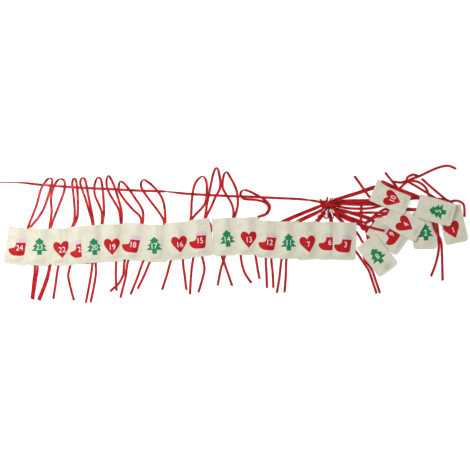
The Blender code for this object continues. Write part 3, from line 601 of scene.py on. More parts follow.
def fine_frames(frames):
    """Frames about RING_STEP apart, on a smooth curve through the given ones (Catmull-Rom)."""
    fine = []
    last = len(frames) - 1
    for i in range(last):
        before, start = frames[max(i - 1, 0)][0], frames[i][0]
        end, after = frames[i + 1][0], frames[min(i + 2, last)][0]
        count = max(1, round((end - start).length / RING_STEP))
        for k in range(count):
            t = k / count
            point = 0.5 * (
                2 * start + (end - before) * t
                + (2 * before - 5 * start + 4 * end - after) * t ** 2
                + (3 * start - before - 3 * end + after) * t ** 3
            )
            point.z = start.z + (end.z - start.z) * t
            fine.append((point, frames[i][1].lerp(frames[i + 1][1], t).normalized()))
    return fine + [frames[last]]


print("ribbon 24 has", len(fine_frames(ribbon_frames(with_halves(hung_route(*HUNG[24]))))), "rings")

# %% [markdown]
# ## From rings to a mesh
#
# Ribbons, felt shells and stitches are all tubes: rings of vertices, joined by four-sided faces and
# closed at both ends. One function numbers those faces for all of them. A second one adds a finished
# mesh to the scene, shaded smoothly but with its real edges kept crisp.

# %% Faces, shading and adding a piece
CRISP_TURN = math.radians(40)


def tube_faces(first, around, rings):
    """The faces of a closed tube whose vertices are numbered ring by ring from first."""
    last = first + (rings - 1) * around
    faces = []
    for start in range(first, last, around):
        for k in range(around):
            a, b = start + k, start + (k + 1) % around
            faces.append((a, b, b + around, a + around))
    return faces + [tuple(range(first, first + around))[::-1], tuple(range(last, last + around))]


def smooth_shade(piece):
    """Shades smoothly, but keeps edges crisp where the surface turns sharply."""
    shape = bmesh.new()
    shape.from_mesh(piece.data)
    bmesh.ops.recalc_face_normals(shape, faces=shape.faces[:])
    for face in shape.faces:
        face.smooth = True
    for edge in shape.edges:
        edge.smooth = edge.calc_face_angle(0.0) < CRISP_TURN
    shape.to_mesh(piece.data)
    shape.free()


def add_piece(name, mesh, finish):
    """A named object with one finish, in the scene."""
    mesh.materials.append(finish)
    piece = bpy.data.objects.new(name, mesh)
    bpy.context.scene.collection.objects.link(piece)
    smooth_shade(piece)
    return piece


print("a tube of two rings of four has", len(tube_faces(0, 4, 2)), "faces")

# %% [markdown]
# ## The ribbons
#
# Each ribbon is cut off at a slant at both ends, so that it frays less. Its UV map runs in metres
# across and along, which is what the satin's threads and ripples are drawn by. A ribbon takes the
# place of its CAD solid and moves with its pouch, and its length is measured.

# %% A strip of ribbon
CUT_SLANT = 3.0 * MM
# where the points of a ring sit, from edge to edge
ACROSS_SHARES = (-0.5, -0.17, 0.17, 0.5)


def strip(frames, first):
    """Vertices, their UVs and the faces of one strip; first is the number of its first vertex."""
    points = [point for point, _ in frames]
    vertices, uvs = [], []
    along = 0.0
    for i, (point, across) in enumerate(frames):
        ahead = heading(points, i)
        across = (across - ahead * across.dot(ahead)).normalized()
        out = ahead.cross(across) * RIBBON_THICKNESS / 2
        along += (point - points[max(i - 1, 0)]).length
        slant = CUT_SLANT if i in (0, len(frames) - 1) else 0.0
        for sign in (1, -1):
            for share in ACROSS_SHARES[::sign]:
                place = point + across * share * RIBBON_WIDTH + ahead * slant * share
                vertices.append(place + out * sign)
                uvs.append((share * RIBBON_WIDTH, along))
    return vertices, uvs, tube_faces(first, 2 * len(ACROSS_SHARES), len(frames))


def ribbon_piece(name, strips):
    """One object made of one or more strips of satin ribbon."""
    vertices, uvs, faces = [], [], []
    for frames in strips:
        parts = strip(frames, len(vertices))
        for whole, part in zip((vertices, uvs, faces), parts):
            whole.extend(part)
    mesh = bpy.data.meshes.new(name)
    mesh.from_pydata(vertices, [], faces)
    layer = mesh.uv_layers.new(name="ribbon")
    for loop in mesh.loops:
        layer.data[loop.index].uv = uvs[loop.vertex_index]
    return add_piece(name, mesh, red_satin)


def lay_ribbon(name, steps, body):
    frames = fine_frames(ribbon_frames(steps))
    points = [point for point, _ in frames]
    length = sum((b - a).length for a, b in zip(points, points[1:]))
    piece = ribbon_piece(f"satin_{name}", [frames])
    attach(piece, body)
    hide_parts(name)
    return length


print("a cut end slants by", CUT_SLANT / MM, "mm")

# %% Lay the ribbons
routes = {number: with_halves(hung_route(*parts)) for number, parts in HUNG.items()}
routes.update({number: folded_route(route) for number, route in BUNCHED.items()})
lengths = {
    number: lay_ribbon(f"ribbon_{number:02d}", steps, body_of_pouch(number))
    for number, steps in routes.items()
}
main_length = lay_ribbon("main_ribbon", folded_route(MAIN), ROOT)
print("long ribbon", round(main_length, 3), "m")
print("pouch ribbons", {number: round(length, 3) for number, length in lengths.items()})

# %% [markdown]
# ## The felt pouches
#
# A pouch is two layers of felt sewn together at the sides and the round-cornered bottom, with an
# open mouth. Laid flat, the front still swells a little, because the seams hold the layers together
# only at the edges. The shape could be a cloth simulation, but what shows is this low, even belly
# with a few soft dents, so the shell is lofted: rings run around the outside from the bottom to the
# mouth, turn in over the lip and run down the hollow again. Every pouch has dents of its own, drawn
# at random from a fixed seed so that they come out alike on every run.

# %% How the front of a pouch swells
POUCH_WIDTH = 94.0 * MM
POUCH_HEIGHT = 150.0 * MM
FELT = 1.4 * MM
BOTH_LAYERS = 2 * FELT
SEAM = 5.0 * MM
BELLY = 6.6 * MM
BELLY_START = 26.0 * MM

DENTS = 8
FIRST_SEED = 100
# how far from the middle a dent may sit, as shares of the pouch, and its size and depth in mm
DENT_ACROSS = (-0.4, 0.4)
DENT_ALONG = (-0.45, 0.55)
DENT_WIDTH = (5, 15)
DENT_LENGTH = (18, 55)
DENT_DEPTH = (0.8, 2.4)


def soft_step(share):
    """Rises smoothly from 0 to 1."""
    share = min(max(share, 0.0), 1.0)
    return share * share * (3 - 2 * share)


def pouch_dents(number):
    """The soft dents of one pouch: (x, y, width, length, depth), the same on every run."""
    rng = random.Random(FIRST_SEED + number)
    dents = []
    for _ in range(DENTS):
        x = rng.uniform(*DENT_ACROSS) * POUCH_WIDTH
        y = rng.uniform(*DENT_ALONG) * POUCH_HEIGHT
        size = rng.uniform(*DENT_WIDTH) * MM, rng.uniform(*DENT_LENGTH) * MM
        dents.append((x, y, *size, rng.uniform(*DENT_DEPTH) * MM))
    return dents


def front_height(x, y, dents):
    """How high the front face of a pouch lies over the back of it, at x and y from the middle."""
    inner = POUCH_WIDTH / 2 - SEAM
    if abs(x) >= inner:
        return BOTH_LAYERS
    low = soft_step((y + POUCH_HEIGHT / 2 - SEAM) / (BELLY_START - SEAM))
    puff = BELLY * math.cos(math.pi * x / (2 * inner)) ** 2 * low
    for dent_x, dent_y, wide, long, depth in dents:
        away = ((x - dent_x) / wide) ** 2 + ((y - dent_y) / long) ** 2
        puff -= depth * math.exp(-away) * puff / BELLY
    return BOTH_LAYERS + puff


print("front of a pouch lies", round(front_height(0, 0, []) / MM, 1), "mm over its back")

# %% [markdown]
# ## Rings of the shell
#
# A ring goes once around the pouch: along the back, over the soft right edge, back along the front
# and down the left edge. The hollow has rings with the same number of points, so that outside and
# inside join at the lip. Scissors don't cut quite straight, so the outline wanders inwards by up to
# about half a millimetre.

# %% The rings of one pouch
CORNER = 13.0 * MM
# angles in degrees at which the round bottom corner gets a ring
CORNER_ANGLES = (0, 12, 25, 40, 55, 72)
SOFT_EDGE = 0.7 * MM
HOLLOW_EDGE = 0.1 * MM
# how many parts the straight sides, the back and the front are split into
RINGS = 36
BACK_PARTS = 8
FRONT_PARTS = 26
BACK_SHARES = tuple(2 * i / BACK_PARTS - 1 for i in range(BACK_PARTS + 1))
FRONT_SHARES = tuple(1 - 2 * i / FRONT_PARTS for i in range(FRONT_PARTS + 1))
WANDER = 0.008
# how fast the outline's waves go, in radians for each metre along or across the pouch
WAVES_ALONG = 70
WAVES_ACROSS = 90


def half_width(y):
    """Half the pouch's width at y from the middle, with the round bottom corners."""
    rise = max(CORNER - (y + POUCH_HEIGHT / 2), 0.0)
    return POUCH_WIDTH / 2 - CORNER + math.sqrt(max(CORNER ** 2 - rise ** 2, 0.0))


def outer_ring(y, dents):
    """Points around the outside: the back, the right edge, the front and the left edge."""
    wide = half_width(y)
    reach = wide - SOFT_EDGE
    ring = [(share * reach, 0.0) for share in BACK_SHARES]
    ring += [(wide, SOFT_EDGE), (wide, BOTH_LAYERS - SOFT_EDGE)]
    ring += [(share * reach, front_height(share * reach, y, dents)) for share in FRONT_SHARES]
    ring += [(-wide, BOTH_LAYERS - SOFT_EDGE), (-wide, SOFT_EDGE)]
    return [Vector((x, y, z)) for x, z in ring]


def inner_ring(y, dents):
    """Points around the hollow, one for each point of the outer ring."""
    reach = min(half_width(y), POUCH_WIDTH / 2) - SEAM
    ring = [(share * (reach - HOLLOW_EDGE), FELT) for share in BACK_SHARES]
    ring += [(reach, FELT + HOLLOW_EDGE), (reach, FELT + 2 * HOLLOW_EDGE)]
    for share in FRONT_SHARES:
        x = share * (reach - HOLLOW_EDGE)
        ring.append((x, max(front_height(x, y, dents) - FELT, FELT + 3 * HOLLOW_EDGE)))
    ring += [(-reach, FELT + 2 * HOLLOW_EDGE), (-reach, FELT + HOLLOW_EDGE)]
    return [Vector((x, y, z)) for x, z in ring]


def pouch_rings(dents):
    """All rings of the shell, from the bottom up the outside and back down the hollow."""
    low = -POUCH_HEIGHT / 2
    curved = [low + CORNER * (1 - math.cos(math.radians(angle))) for angle in CORNER_ANGLES]
    straight = [low + CORNER + (POUCH_HEIGHT - CORNER) * i / RINGS for i in range(RINGS + 1)]
    outside = [outer_ring(y, dents) for y in curved + straight]
    return outside + [inner_ring(y, dents) for y in reversed(straight)]


def wander(point, number):
    """Draws a point a little inwards, as the cut outline wanders."""
    slow_x = 0.5 + 0.5 * math.sin(point.y * WAVES_ALONG + number)
    slow_y = 0.5 + 0.5 * math.sin(point.x * WAVES_ACROSS + 2 * number)
    return Vector((point.x * (1 - WANDER * slow_x), point.y * (1 - WANDER * slow_y), point.z))


print("a pouch has", len(pouch_rings([])), "rings of", len(outer_ring(0, [])), "points")

# %% [markdown]
# ## Where each pouch lies
#
# Each pouch lies where its CAD solid lies, leaning a little on its neighbour. Its place is read from
# that solid: the two back corners at the mouth give the direction across the pouch, and the turn of
# the pouch gives the direction along it.

# %% Pouches, with the turn of each in degrees
POUCH_TURNS = {
    24: -9.0, 23: -5.0, 22: 0.0, 21: 0.0, 20: 4.0, 19: 0.0, 18: -6.0, 17: -1.0, 16: 4.5,
    15: 7.5, 14: 2.0, 13: 2.0, 12: -4.0, 11: 2.0, 7: 5.0, 6: 0.0, 3: -2.0,
    1: 13.0, 2: 1.0, 9: 54.0, 8: 38.0, 4: 60.0, 10: 67.0, 5: 74.0,
}
CORNER_SEARCH = 1.0 * MM


def pouch_place(number):
    """The pouch's middle as a matrix, with x across, y towards the mouth and z to the front."""
    turn = math.radians(POUCH_TURNS[number])
    along = Vector((-math.sin(turn), math.cos(turn), 0.0))
    level = Vector((math.cos(turn), math.sin(turn), 0.0))
    corners = [v.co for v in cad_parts[f"pouch_{number:02d}"].data.vertices]
    mouth = max(c.dot(along) for c in corners)
    lip = [c for c in corners if c.dot(along) > mouth - CORNER_SEARCH]
    ends = []
    for sign in (-1, 1):
        far = max(sign * c.dot(level) for c in lip)
        near = [c for c in lip if sign * c.dot(level) > far - CORNER_SEARCH]
        ends.append(min(near, key=lambda c: c.z))
    across = (ends[1] - ends[0]).normalized()
    front = across.cross(along)
    middle = (ends[0] + ends[1]) / 2 - along * POUCH_HEIGHT / 2
    return Matrix([*zip(across, along, front, middle), (0, 0, 0, 1)])


def make_pouch(number):
    """The felt shell of one pouch in place of its CAD solid; gives its place."""
    place = pouch_place(number)
    rings = pouch_rings(pouch_dents(number))
    vertices = [place @ wander(point, number) for ring in rings for point in ring]
    mesh = bpy.data.meshes.new(f"felt_pouch_{number:02d}")
    mesh.from_pydata(vertices, [], tube_faces(0, len(rings[0]), len(rings)))
    piece = add_piece(f"felt_pouch_{number:02d}", mesh, cream_felt)
    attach(piece, body_of_pouch(number))
    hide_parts(f"pouch_{number:02d}")
    return place


places = {number: make_pouch(number) for number in POUCH_TURNS}
highest = max(place.translation.z for place in places.values())
print("pouches:", len(places), "the highest lies", round(highest / MM, 1), "mm up")

# %% [markdown]
# ## Stitches
#
# The two layers are sewn together 3 mm from the edge with a lockstitch in cotton: on the face one
# sees a row of short threads, each sunk a little into the felt at its ends. They could be a bump in
# the material, but real little threads catch the light from every side. They lie on the flat seam.
# Cotton has short fibres, so the thread is matt and its colour a little uneven.

# %% Material: cotton thread
THREAD_ROUGHNESS = 0.7
THREAD_GRAIN = 1.2 * MM


def sewing_thread(name, pale, dark):
    """Matt spun cotton in two close shades."""
    made, tree = new_material(name)
    place = add_node(tree, "ShaderNodeTexCoord").outputs["Object"]
    grain = add_node(
        tree, "ShaderNodeTexNoise", Vector=place, Scale=1 / THREAD_GRAIN, Detail=2.0
    ).outputs["Fac"]
    colour = add_node(
        tree, "ShaderNodeValToRGB", stops=[(0.35, dark), (0.65, pale)], Fac=grain
    ).outputs["Color"]
    shader = add_node(
        tree, "ShaderNodeBsdfPrincipled", Base_Color=colour, Roughness=THREAD_ROUGHNESS
    )
    add_node(tree, "ShaderNodeOutputMaterial", Surface=shader.outputs["BSDF"])
    return made


cotton_thread = sewing_thread("cotton_thread_cream", "#E4DFCA", "#C9C3A8")
print("thread roughness", THREAD_ROUGHNESS)

# %% Where the stitches lie
STITCH_INSET = 3.0 * MM
STITCH_STEP = 3.8 * MM
BEND_TURN = 15


def seam_line():
    """Points along the seam: down the left side, around the bottom and up the right side."""
    side = POUCH_WIDTH / 2 - STITCH_INSET
    low = STITCH_INSET - POUCH_HEIGHT / 2
    bend = CORNER - STITCH_INSET
    line = [Vector((-side, POUCH_HEIGHT / 2 - STITCH_INSET)), Vector((-side, low + bend))]
    for angle in range(BEND_TURN, 90, BEND_TURN):
        turn = math.radians(angle)
        line.append(Vector((-side + bend * (1 - math.cos(turn)), low + bend * (1 - math.sin(turn)))))
    line.append(Vector((-side + bend, low)))
    return line + [Vector((-p.x, p.y)) for p in reversed(line)]


def stitches_along(line):
    """The middle and the direction of each stitch along a line."""
    found = []
    left = STITCH_STEP / 2
    for start, end in zip(line, line[1:]):
        length = (end - start).length
        way = (end - start) / length
        while left < length:
            found.append((start + way * left, way))
            left += STITCH_STEP
        left -= length
    return found


print("stitches on each pouch:", len(stitches_along(seam_line())))

# %% Sew the pouches
STITCH_LENGTH = 3.0 * MM
STITCH_ROOT = 0.5 * MM
THREAD = 0.7 * MM

# along a stitch: share of its half length, share of the thread's width, height over the felt in mm
STITCH_PROFILE = [(-1.0, 0.4, -0.2), (-0.55, 1.0, 0.28), (0.55, 1.0, 0.28), (1.0, 0.4, -0.2)]
# across a stitch: side of the thread and how far it lies below the crown in mm
STITCH_SIDES = [(-1, 0.3), (0, 0.0), (1, 0.3)]


def stitch_rings(middle, way):
    """The four rings of a stitch, each with the top of the thread and a root in the felt."""
    side = Vector((-way.y, way.x)) * THREAD / 2
    vertices = []
    for part, wide, high in STITCH_PROFILE:
        spot = middle + way * STITCH_LENGTH / 2 * part
        for share, drop in STITCH_SIDES:
            at = spot + side * wide * share
            vertices.append(Vector((at.x, at.y, BOTH_LAYERS + (high - drop) * MM)))
        vertices.append(Vector((spot.x, spot.y, BOTH_LAYERS - STITCH_ROOT)))
    return vertices


def sew(number):
    """The stitches of one pouch as one piece."""
    vertices, faces = [], []
    for middle, way in stitches_along(seam_line()):
        faces += tube_faces(len(vertices), len(STITCH_SIDES) + 1, len(STITCH_PROFILE))
        vertices += stitch_rings(middle, way)
    mesh = bpy.data.meshes.new(f"stitches_{number:02d}")
    mesh.from_pydata([places[number] @ wander(v, number) for v in vertices], [], faces)
    piece = add_piece(f"stitches_{number:02d}", mesh, cotton_thread)
    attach(piece, body_of_pouch(number))


for number in places:
    sew(number)
print("sewn:", len(places), "pouches")

# %% [markdown]
# ## The prints
#
# Each pouch carries one of three traditional figures, a stocking, a tree or a heart, and its number
# in white. They are screen printed: a squeegee pushes thick ink through a mesh, and the ink dries as
# a thin, even, slightly rubbery film that sinks into the felt a little. As geometry that is a thin
# plate that follows the belly of the pouch. An image on the felt would do too, but a plate keeps the
# outline crisp from close by, and no picture file is needed.

# %% Material: screen ink
INK_ROUGHNESS = 0.6
INK_SHINE = 0.2
INK_GRAIN = 1.4 * MM
INK_GRAIN_HEIGHT = 0.15 * MM


def screen_ink(name, colour, thin):
    """An ink film with small thin spots, where the felt's fibres show through."""
    made, tree = new_material(name)
    place = add_node(tree, "ShaderNodeTexCoord").outputs["Object"]
    grain = add_node(
        tree, "ShaderNodeTexNoise", Vector=place, Scale=1 / INK_GRAIN, Detail=3.0, Roughness=0.7
    ).outputs["Fac"]
    mixed = add_node(
        tree, "ShaderNodeValToRGB", stops=[(0.28, thin), (0.46, colour)], Fac=grain
    ).outputs["Color"]
    bump = add_node(
        tree, "ShaderNodeBump", Height=grain, Strength=0.3, Distance=INK_GRAIN_HEIGHT
    ).outputs["Normal"]
    shader = add_node(
        tree, "ShaderNodeBsdfPrincipled", Base_Color=mixed, Roughness=INK_ROUGHNESS,
        Specular_IOR_Level=INK_SHINE, Normal=bump,
    )
    add_node(tree, "ShaderNodeOutputMaterial", Surface=shader.outputs["BSDF"])
    return made


ink_red = screen_ink("screen_ink_red", "#BE0A16", "#BC3A38")
ink_green = screen_ink("screen_ink_green", "#0E844C", "#4E9B74")
ink_lilac = screen_ink("screen_ink_pale_lilac", "#DDC6D1", "#DAD0CC")
ink_white = screen_ink("screen_ink_white", "#F6F3F2", "#EFE9E4")
print("ink grain", round(INK_GRAIN / MM, 1), "mm")

# %% Outlines of the figures, in mm from the figure's middle
TREE = [
    (0, 34), (7, 27.5), (14, 21.5), (19, 18.5), (11.5, 14.5), (18, 7), (27.5, -1.5), (17, -4.5),
    (23, -10.5), (32, -18), (20, -19), (9.5, -18.5), (9, -34),
]
TREE += [(-x, y) for x, y in TREE[:0:-1]]
STOCKING = [
    (-4.5, 17), (-5, 7), (-11, -2), (-22, -4.5), (-34, -5), (-36, -12), (-30, -25), (-17, -34),
    (0, -35), (24, -35), (30, -27), (30.5, -15), (35, 17),
]
CUFF = [(-7.5, 17.5), (38, 17.5), (38.5, 34.5), (-8, 35)]
HEART = [
    (0, 20), (5, 29), (16, 34.5), (27, 31.5), (33, 20), (30, 6), (19, -10), (4, -28), (0, -33),
]
HEART += [(-x, y) for x, y in HEART[-2:0:-1]]
CUT_SHARE = 0.25


def rounded(outline, sharp, rounds=3):
    """Cuts the corners of an outline again and again until it's round, except at the sharp ones."""
    keep = [outline[i] for i in sharp]
    for _ in range(rounds):
        cut = []
        for i, here in enumerate(outline):
            if here in keep:
                cut.append(here)
                continue
            for other in (outline[i - 1], outline[(i + 1) % len(outline)]):
                cut.append(tuple((1 - CUT_SHARE) * a + CUT_SHARE * b for a, b in zip(here, other)))
        outline = cut
    return outline


stocking_shape = rounded(STOCKING, (0, 12))
cuff_shape = rounded(CUFF, (0, 1), 2)
heart_shape = rounded(HEART, (0, 8))
print("corners: tree", len(TREE), "stocking", len(stocking_shape), "heart", len(heart_shape))

# %% [markdown]
# ## Bending a flat figure over the belly
#
# A flat figure is cut into narrow strips across and along the pouch, so that it can bend, and each
# corner is set just above the felt. A copy of it just below the surface and a rim make it a closed
# thin plate. The numbers lie a little higher than the figures, since they are printed over them.

# %% A printed plate
PLATE_CUTS = 3.0 * MM
PLATE_SINK = 0.3 * MM
WELD = 0.02 * MM
FIGURE_LIFT = 0.12 * MM
NUMBER_LIFT = 0.22 * MM


def cut_across(shape, axis, reach):
    """Cuts a flat mesh along every line PLATE_CUTS apart that crosses an axis."""
    count = int(reach / PLATE_CUTS)
    way = Vector((0, 0, 0))
    way[axis] = 1
    for i in range(-count, count + 1):
        everything = shape.verts[:] + shape.edges[:] + shape.faces[:]
        bmesh.ops.bisect_plane(shape, geom=everything, plane_co=way * i * PLATE_CUTS, plane_no=way)


def print_plate(name, flat_mesh, to_pouch, number, lift, ink):
    """Turns a flat mesh into an ink plate on the front of a pouch; to_pouch is its place there."""
    dents = pouch_dents(number)
    shape = bmesh.new()
    shape.from_mesh(flat_mesh)
    shape.transform(to_pouch)
    bmesh.ops.remove_doubles(shape, verts=shape.verts[:], dist=WELD)
    cut_across(shape, 0, POUCH_WIDTH / 2)
    cut_across(shape, 1, POUCH_HEIGHT / 2)
    grown = bmesh.ops.extrude_face_region(shape, geom=shape.faces[:], use_keep_orig=True)["geom"]
    top = {item for item in grown if isinstance(item, bmesh.types.BMVert)}
    for vertex in shape.verts:
        x, y = vertex.co.x, vertex.co.y
        vertex.co.z = front_height(x, y, dents) + (lift if vertex in top else -PLATE_SINK)
    shape.transform(places[number])
    mesh = bpy.data.meshes.new(name)
    shape.to_mesh(mesh)
    shape.free()
    piece = add_piece(name, mesh, ink)
    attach(piece, body_of_pouch(number))


def outline_mesh(outline):
    """A flat mesh inside an outline in mm."""
    shape = bmesh.new()
    shape.faces.new([shape.verts.new((x * MM, y * MM, 0)) for x, y in outline])
    bmesh.ops.triangulate(shape, faces=shape.faces[:])
    mesh = bpy.data.meshes.new("outline")
    shape.to_mesh(mesh)
    shape.free()
    return mesh


print("plates are cut every", PLATE_CUTS / MM, "mm")

# %% [markdown]
# ## Digits
#
# Blender's built-in typeface is a plain sans serif, close to the printed one. A text object turned
# into a mesh gives the outlines, which are then scaled to the real height of the digits.

# %% Digits as a flat mesh
DIGIT_HEIGHT = 22.0 * MM
DIGIT_NARROWING = 0.9
# how far the outlines are set outwards, for letters that are 1 high
DIGIT_WEIGHT = 0.001


def number_mesh(number):
    """The digits of a number as a flat mesh, centred."""
    words = bpy.data.curves.new("digits", "FONT")
    words.body = str(number)
    words.offset = DIGIT_WEIGHT
    holder = bpy.data.objects.new("digits", words)
    bpy.context.scene.collection.objects.link(holder)
    bpy.context.view_layer.update()
    graph = bpy.context.evaluated_depsgraph_get()
    mesh = bpy.data.meshes.new_from_object(holder.evaluated_get(graph))
    bpy.data.objects.remove(holder)
    low = Vector([min(v.co[i] for v in mesh.vertices) for i in range(3)])
    high = Vector([max(v.co[i] for v in mesh.vertices) for i in range(3)])
    tall = DIGIT_HEIGHT / (high.y - low.y)
    scale = Matrix.Diagonal((tall * DIGIT_NARROWING, tall, 1, 1))
    mesh.transform(scale @ Matrix.Translation(-(low + high) / 2))
    return mesh


print("digits are", DIGIT_HEIGHT / MM, "mm high")

# %% [markdown]
# ## Which figure sits where
#
# The figures follow each other in threes: a stocking on every number that three divides, then a
# heart, then a tree. No print sits quite in the middle of its pouch, so each has its own place and
# turn. The number sits near the middle of the figure.

# %% Print the figures and numbers: across, down, turn in degrees
PRINTS = {
    24: (17.5, 247.0, 0), 23: (39.8, 246.2, 0), 22: (61.9, 249.8, 7), 21: (78.2, 248.8, 15),
    20: (94.4, 246.5, 6), 19: (112.2, 247.0, 2), 18: (131.2, 243.6, -6), 17: (154.4, 245.2, 2),
    16: (179.6, 244.6, 7), 15: (197.8, 239.9, 4), 14: (227.2, 238.3, 8), 13: (248.6, 239.8, 1),
    12: (267.4, 241.4, -4), 11: (288.4, 242.0, 1), 7: (307.8, 244.4, 10), 6: (327.0, 241.6, 2),
    3: (342.6, 243.6, -3), 10: (392.0, 199.4, 67), 9: (389.4, 235.6, 54), 8: (376.6, 255.6, 38),
    4: (404.8, 225.0, 60), 2: (425.0, 232.0, 5), 5: (436.6, 211.3, 80), 1: (452.4, 230.2, 21),
}
# by what is left when the number is divided by three
FIGURES = {
    0: [("stocking", stocking_shape, ink_red), ("cuff", cuff_shape, ink_lilac)],
    1: [("heart", heart_shape, ink_red)],
    2: [("tree", TREE, ink_green)],
}
NUMBER_PLACES = {0: (10.0, -3.0), 1: (2.5, 0.5), 2: (0.5, -3.0)}

for number, (across, down, turn) in PRINTS.items():
    kind = number % len(FIGURES)
    spot = places[number].inverted() @ on_table(across, down, places[number].translation.z)
    lean = math.radians(turn - POUCH_TURNS[number])
    here = Matrix.Translation((spot.x, spot.y, 0)) @ Matrix.Rotation(lean, 4, "Z")
    for part, outline, ink in FIGURES[kind]:
        flat = outline_mesh(outline)
        print_plate(f"print_{part}_{number:02d}", flat, here, number, FIGURE_LIFT, ink)
    offset = Matrix.Translation([c * MM for c in NUMBER_PLACES[kind]] + [0])
    print_plate(
        f"number_{number:02d}", number_mesh(number), here @ offset, number, NUMBER_LIFT, ink_white
    )
print("printed", len(PRINTS), "pouches")

# %% [markdown]
# ## The bunch
#
# Where the ribbons are drawn together, they are wound tightly around the long ribbon. One can't
# follow a single ribbon through it; what one sees is a short bundle wrapped in turns that lie side
# by side and across each other, a few loops that stand on edge around it, and the cut tails of the
# ribbons that were wound in. A solid with a bump would look like a lump, so each turn, loop and tail
# is a strip of its own, made like the others.

# %% Turns, loops and tails of the bunch
BUNCH_PLACE = (328.4, 204.6)
BUNCH_FLOOR = 4.1 * MM
BUNCH_TOP = 15.0 * MM
BUNCH_RISE = 2.0 * MM
TURN_SPAN = 17.0 * MM
TURN_STEPS = 14
TURN_TILT = 0.12
TURN_STRETCH = 0.6
LOOP_LEAN = math.radians(28)
LOOP_STEPS = 20
LOOP_FULLNESS = 0.8
TAIL_LEAN = math.radians(48)
TAIL_STEPS = 8
TAIL_BEND = 6

# each turn: millimetres along the bundle, skew in degrees, millimetres that it stays under the top
TURNS = [
    (-27, 24, 4.6), (-19, 14, 2.6), (-11, -6, 1.2), (-3, 12, 0.4), (5, -14, 0.0), (13, 8, 0.9),
    (21, -18, 2.2), (28, -8, 4.2), (-7, 38, 0.2), (9, -40, -0.4), (0, 55, -0.8),
]
# each loop: direction in degrees, reach and width in millimetres
LOOPS = [
    (258, 56, 20), (282, 58, 22), (232, 44, 12), (12, 36, 9), (338, 42, 11), (168, 32, 8), (60, 28, 9),
]
# each tail: direction in degrees and reach in millimetres
TAILS = [(228, 66), (306, 70), (352, 46), (28, 42), (146, 40), (95, 30)]
print("bunch:", len(TURNS), "turns,", len(LOOPS), "loops,", len(TAILS), "tails")

# %% Strips of the bunch
bunch_middle = on_table(*BUNCH_PLACE)


def out_and_side(degrees):
    """The unit vectors along a direction on the table and to the left of it."""
    way = math.radians(degrees)
    return Vector((math.cos(way), math.sin(way), 0)), Vector((-math.sin(way), math.cos(way), 0))


def on_edge(points, lean):
    """Frames for points along which the ribbon stands on edge and leans over by an angle."""
    frames = []
    for i, point in enumerate(points):
        side = UP.cross(heading(points, i)).normalized()
        frames.append((point, UP * math.cos(lean) + side * math.sin(lean)))
    return frames


def turn_over(along, skew, under):
    """A turn wrapped over the bundle, from one side over the top to the other."""
    out, side = out_and_side(90 + skew)
    across = (UP * TURN_TILT * math.sin(along) - side).normalized()
    middle = bunch_middle + Vector((along * MM, 0, BUNCH_FLOOR))
    high = BUNCH_TOP - BUNCH_FLOOR - under * MM
    span = TURN_SPAN / math.cos(math.radians(skew) * TURN_STRETCH)
    frames = []
    for step in range(TURN_STEPS + 1):
        angle = math.pi * step / TURN_STEPS
        point = middle + out * span * math.cos(angle) + UP * high * math.sin(angle)
        frames.append((point, across))
    return frames


def loop_out(direction, reach, wide):
    """A loop that leaves the bundle, turns back at its reach and comes in again."""
    out, side = out_and_side(direction)
    points = []
    for step in range(LOOP_STEPS + 1):
        t = math.pi * step / LOOP_STEPS
        flat = out * reach * math.sin(t) ** LOOP_FULLNESS - side * wide / 2 * math.sin(2 * t)
        height = BUNCH_FLOOR + RIBBON_WIDTH / 2 * math.cos(LOOP_LEAN) + BUNCH_RISE * math.cos(t) ** 2
        points.append(bunch_middle + flat * MM + UP * height)
    return on_edge(points, LOOP_LEAN)


def tail_out(direction, reach):
    """A cut tail that runs out from the bundle with a slight bend."""
    out, side = out_and_side(direction)
    points = []
    for step in range(TAIL_STEPS + 1):
        t = step / TAIL_STEPS
        flat = out * reach * t + side * TAIL_BEND * math.sin(math.pi * t)
        height = BUNCH_FLOOR + RIBBON_WIDTH / 2 * math.cos(TAIL_LEAN) + BUNCH_RISE * (1 - t)
        points.append(bunch_middle + flat * MM + UP * height)
    return on_edge(points, TAIL_LEAN)


print("a turn has", len(turn_over(*TURNS[0])), "rings")

# %% Wind the bunch
strips = [turn_over(*turn) for turn in TURNS]
strips += [loop_out(*loop) for loop in LOOPS]
strips += [tail_out(*tail) for tail in TAILS]
bunch = ribbon_piece("satin_bunch", strips)
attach(bunch, ROOT)
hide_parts("bunch_knot")
print("strips in the bunch:", len(strips))

# %% [markdown]
# ## The table
#
# The calendar lies on plain white. A white that the camera sees as pure white would need so much
# light that the felt would burn out, so the paper glows a little, but only for the camera and in
# reflections. Shadows stay on it, because the glow is added to the light that falls there.

# %% Table
TABLE_SIZE = 12.0
TABLE_DROP = 0.4 * MM
TABLE_GLOW = 0.5


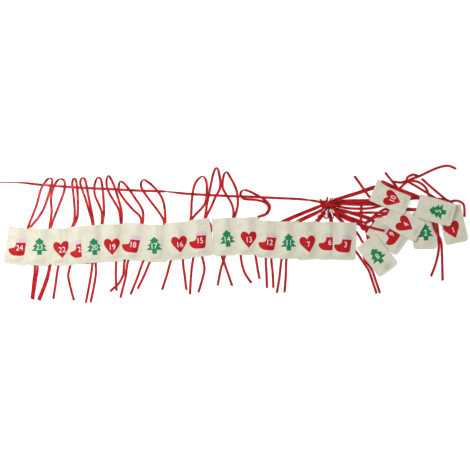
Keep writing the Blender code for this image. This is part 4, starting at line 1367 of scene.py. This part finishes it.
def white_table(name, colour):
    """White paper whose glow only the camera and reflections see."""
    made, tree = new_material(name)
    rays = add_node(tree, "ShaderNodeLightPath").outputs
    seen = rays["Is Camera Ray"]
    for kind in ("Is Glossy Ray", "Is Transmission Ray"):
        seen = add_node(
            tree, "ShaderNodeMath", {"operation": "MAXIMUM"}, i0=seen, i1=rays[kind]
        ).outputs[0]
    strength = add_node(
        tree, "ShaderNodeMath", {"operation": "MULTIPLY"}, i0=seen, i1=TABLE_GLOW
    ).outputs[0]
    glow = add_node(tree, "ShaderNodeEmission", Strength=strength)
    paper = add_node(tree, "ShaderNodeBsdfDiffuse", Color=linear(colour))
    both = add_node(tree, "ShaderNodeAddShader", i0=paper.outputs[0], i1=glow.outputs[0])
    add_node(tree, "ShaderNodeOutputMaterial", Surface=both.outputs[0])
    return made


half = TABLE_SIZE / 2
table_corners = [(-half, -half, 0), (half, -half, 0), (half, half, 0), (-half, half, 0)]
table_mesh = bpy.data.meshes.new("table")
table_mesh.from_pydata(table_corners, [], [(0, 1, 2, 3)])
table_mesh.materials.append(white_table("white_paper", "#F4F4F4"))
table = bpy.data.objects.new("table", table_mesh)
table.location.z = -TABLE_DROP
bpy.context.scene.collection.objects.link(table)
print("table:", TABLE_SIZE, "m wide")

# %% [markdown]
# ## The light
#
# About half of the light comes from all around, as in a light tent, so the shadows are soft. The
# rest comes from a wide lamp above and to the left, which gives them a side and lets the satin
# shine. Past the table's edge the camera sees plain white.

# %% Light
LAMP_SIZE = 1.6
LAMP_POWER = 72.0
LAMP_PLACE = (-1.9, 1.0, 2.3)
WORLD_STRENGTH = 0.47
WHITE = linear("#FFFFFF")

lamp_data = bpy.data.lights.new("wide_lamp", "AREA")
lamp_data.shape = "SQUARE"
lamp_data.size = LAMP_SIZE
lamp_data.energy = LAMP_POWER
lamp = bpy.data.objects.new("wide_lamp", lamp_data)
lamp.location = LAMP_PLACE
lamp.rotation_euler = Vector(LAMP_PLACE).to_track_quat("Z", "Y").to_euler()
bpy.context.scene.collection.objects.link(lamp)

world = bpy.data.worlds.new("light_tent")
world.use_nodes = True
sky = world.node_tree
sky.nodes.clear()
seen = add_node(sky, "ShaderNodeLightPath").outputs["Is Camera Ray"]
tent = add_node(sky, "ShaderNodeBackground", Color=WHITE, Strength=WORLD_STRENGTH)
plain = add_node(sky, "ShaderNodeBackground", Color=WHITE, Strength=1.0)
mixed = add_node(sky, "ShaderNodeMixShader", i0=seen, i1=tent.outputs[0], i2=plain.outputs[0])
add_node(sky, "ShaderNodeOutputWorld", Surface=mixed.outputs[0])
bpy.context.scene.world = world
bpy.context.scene.view_settings.view_transform = "Standard"
print("lamp", LAMP_POWER, "W, tent", WORLD_STRENGTH)

# %% [markdown]
# ## The end
#

print("scene built")
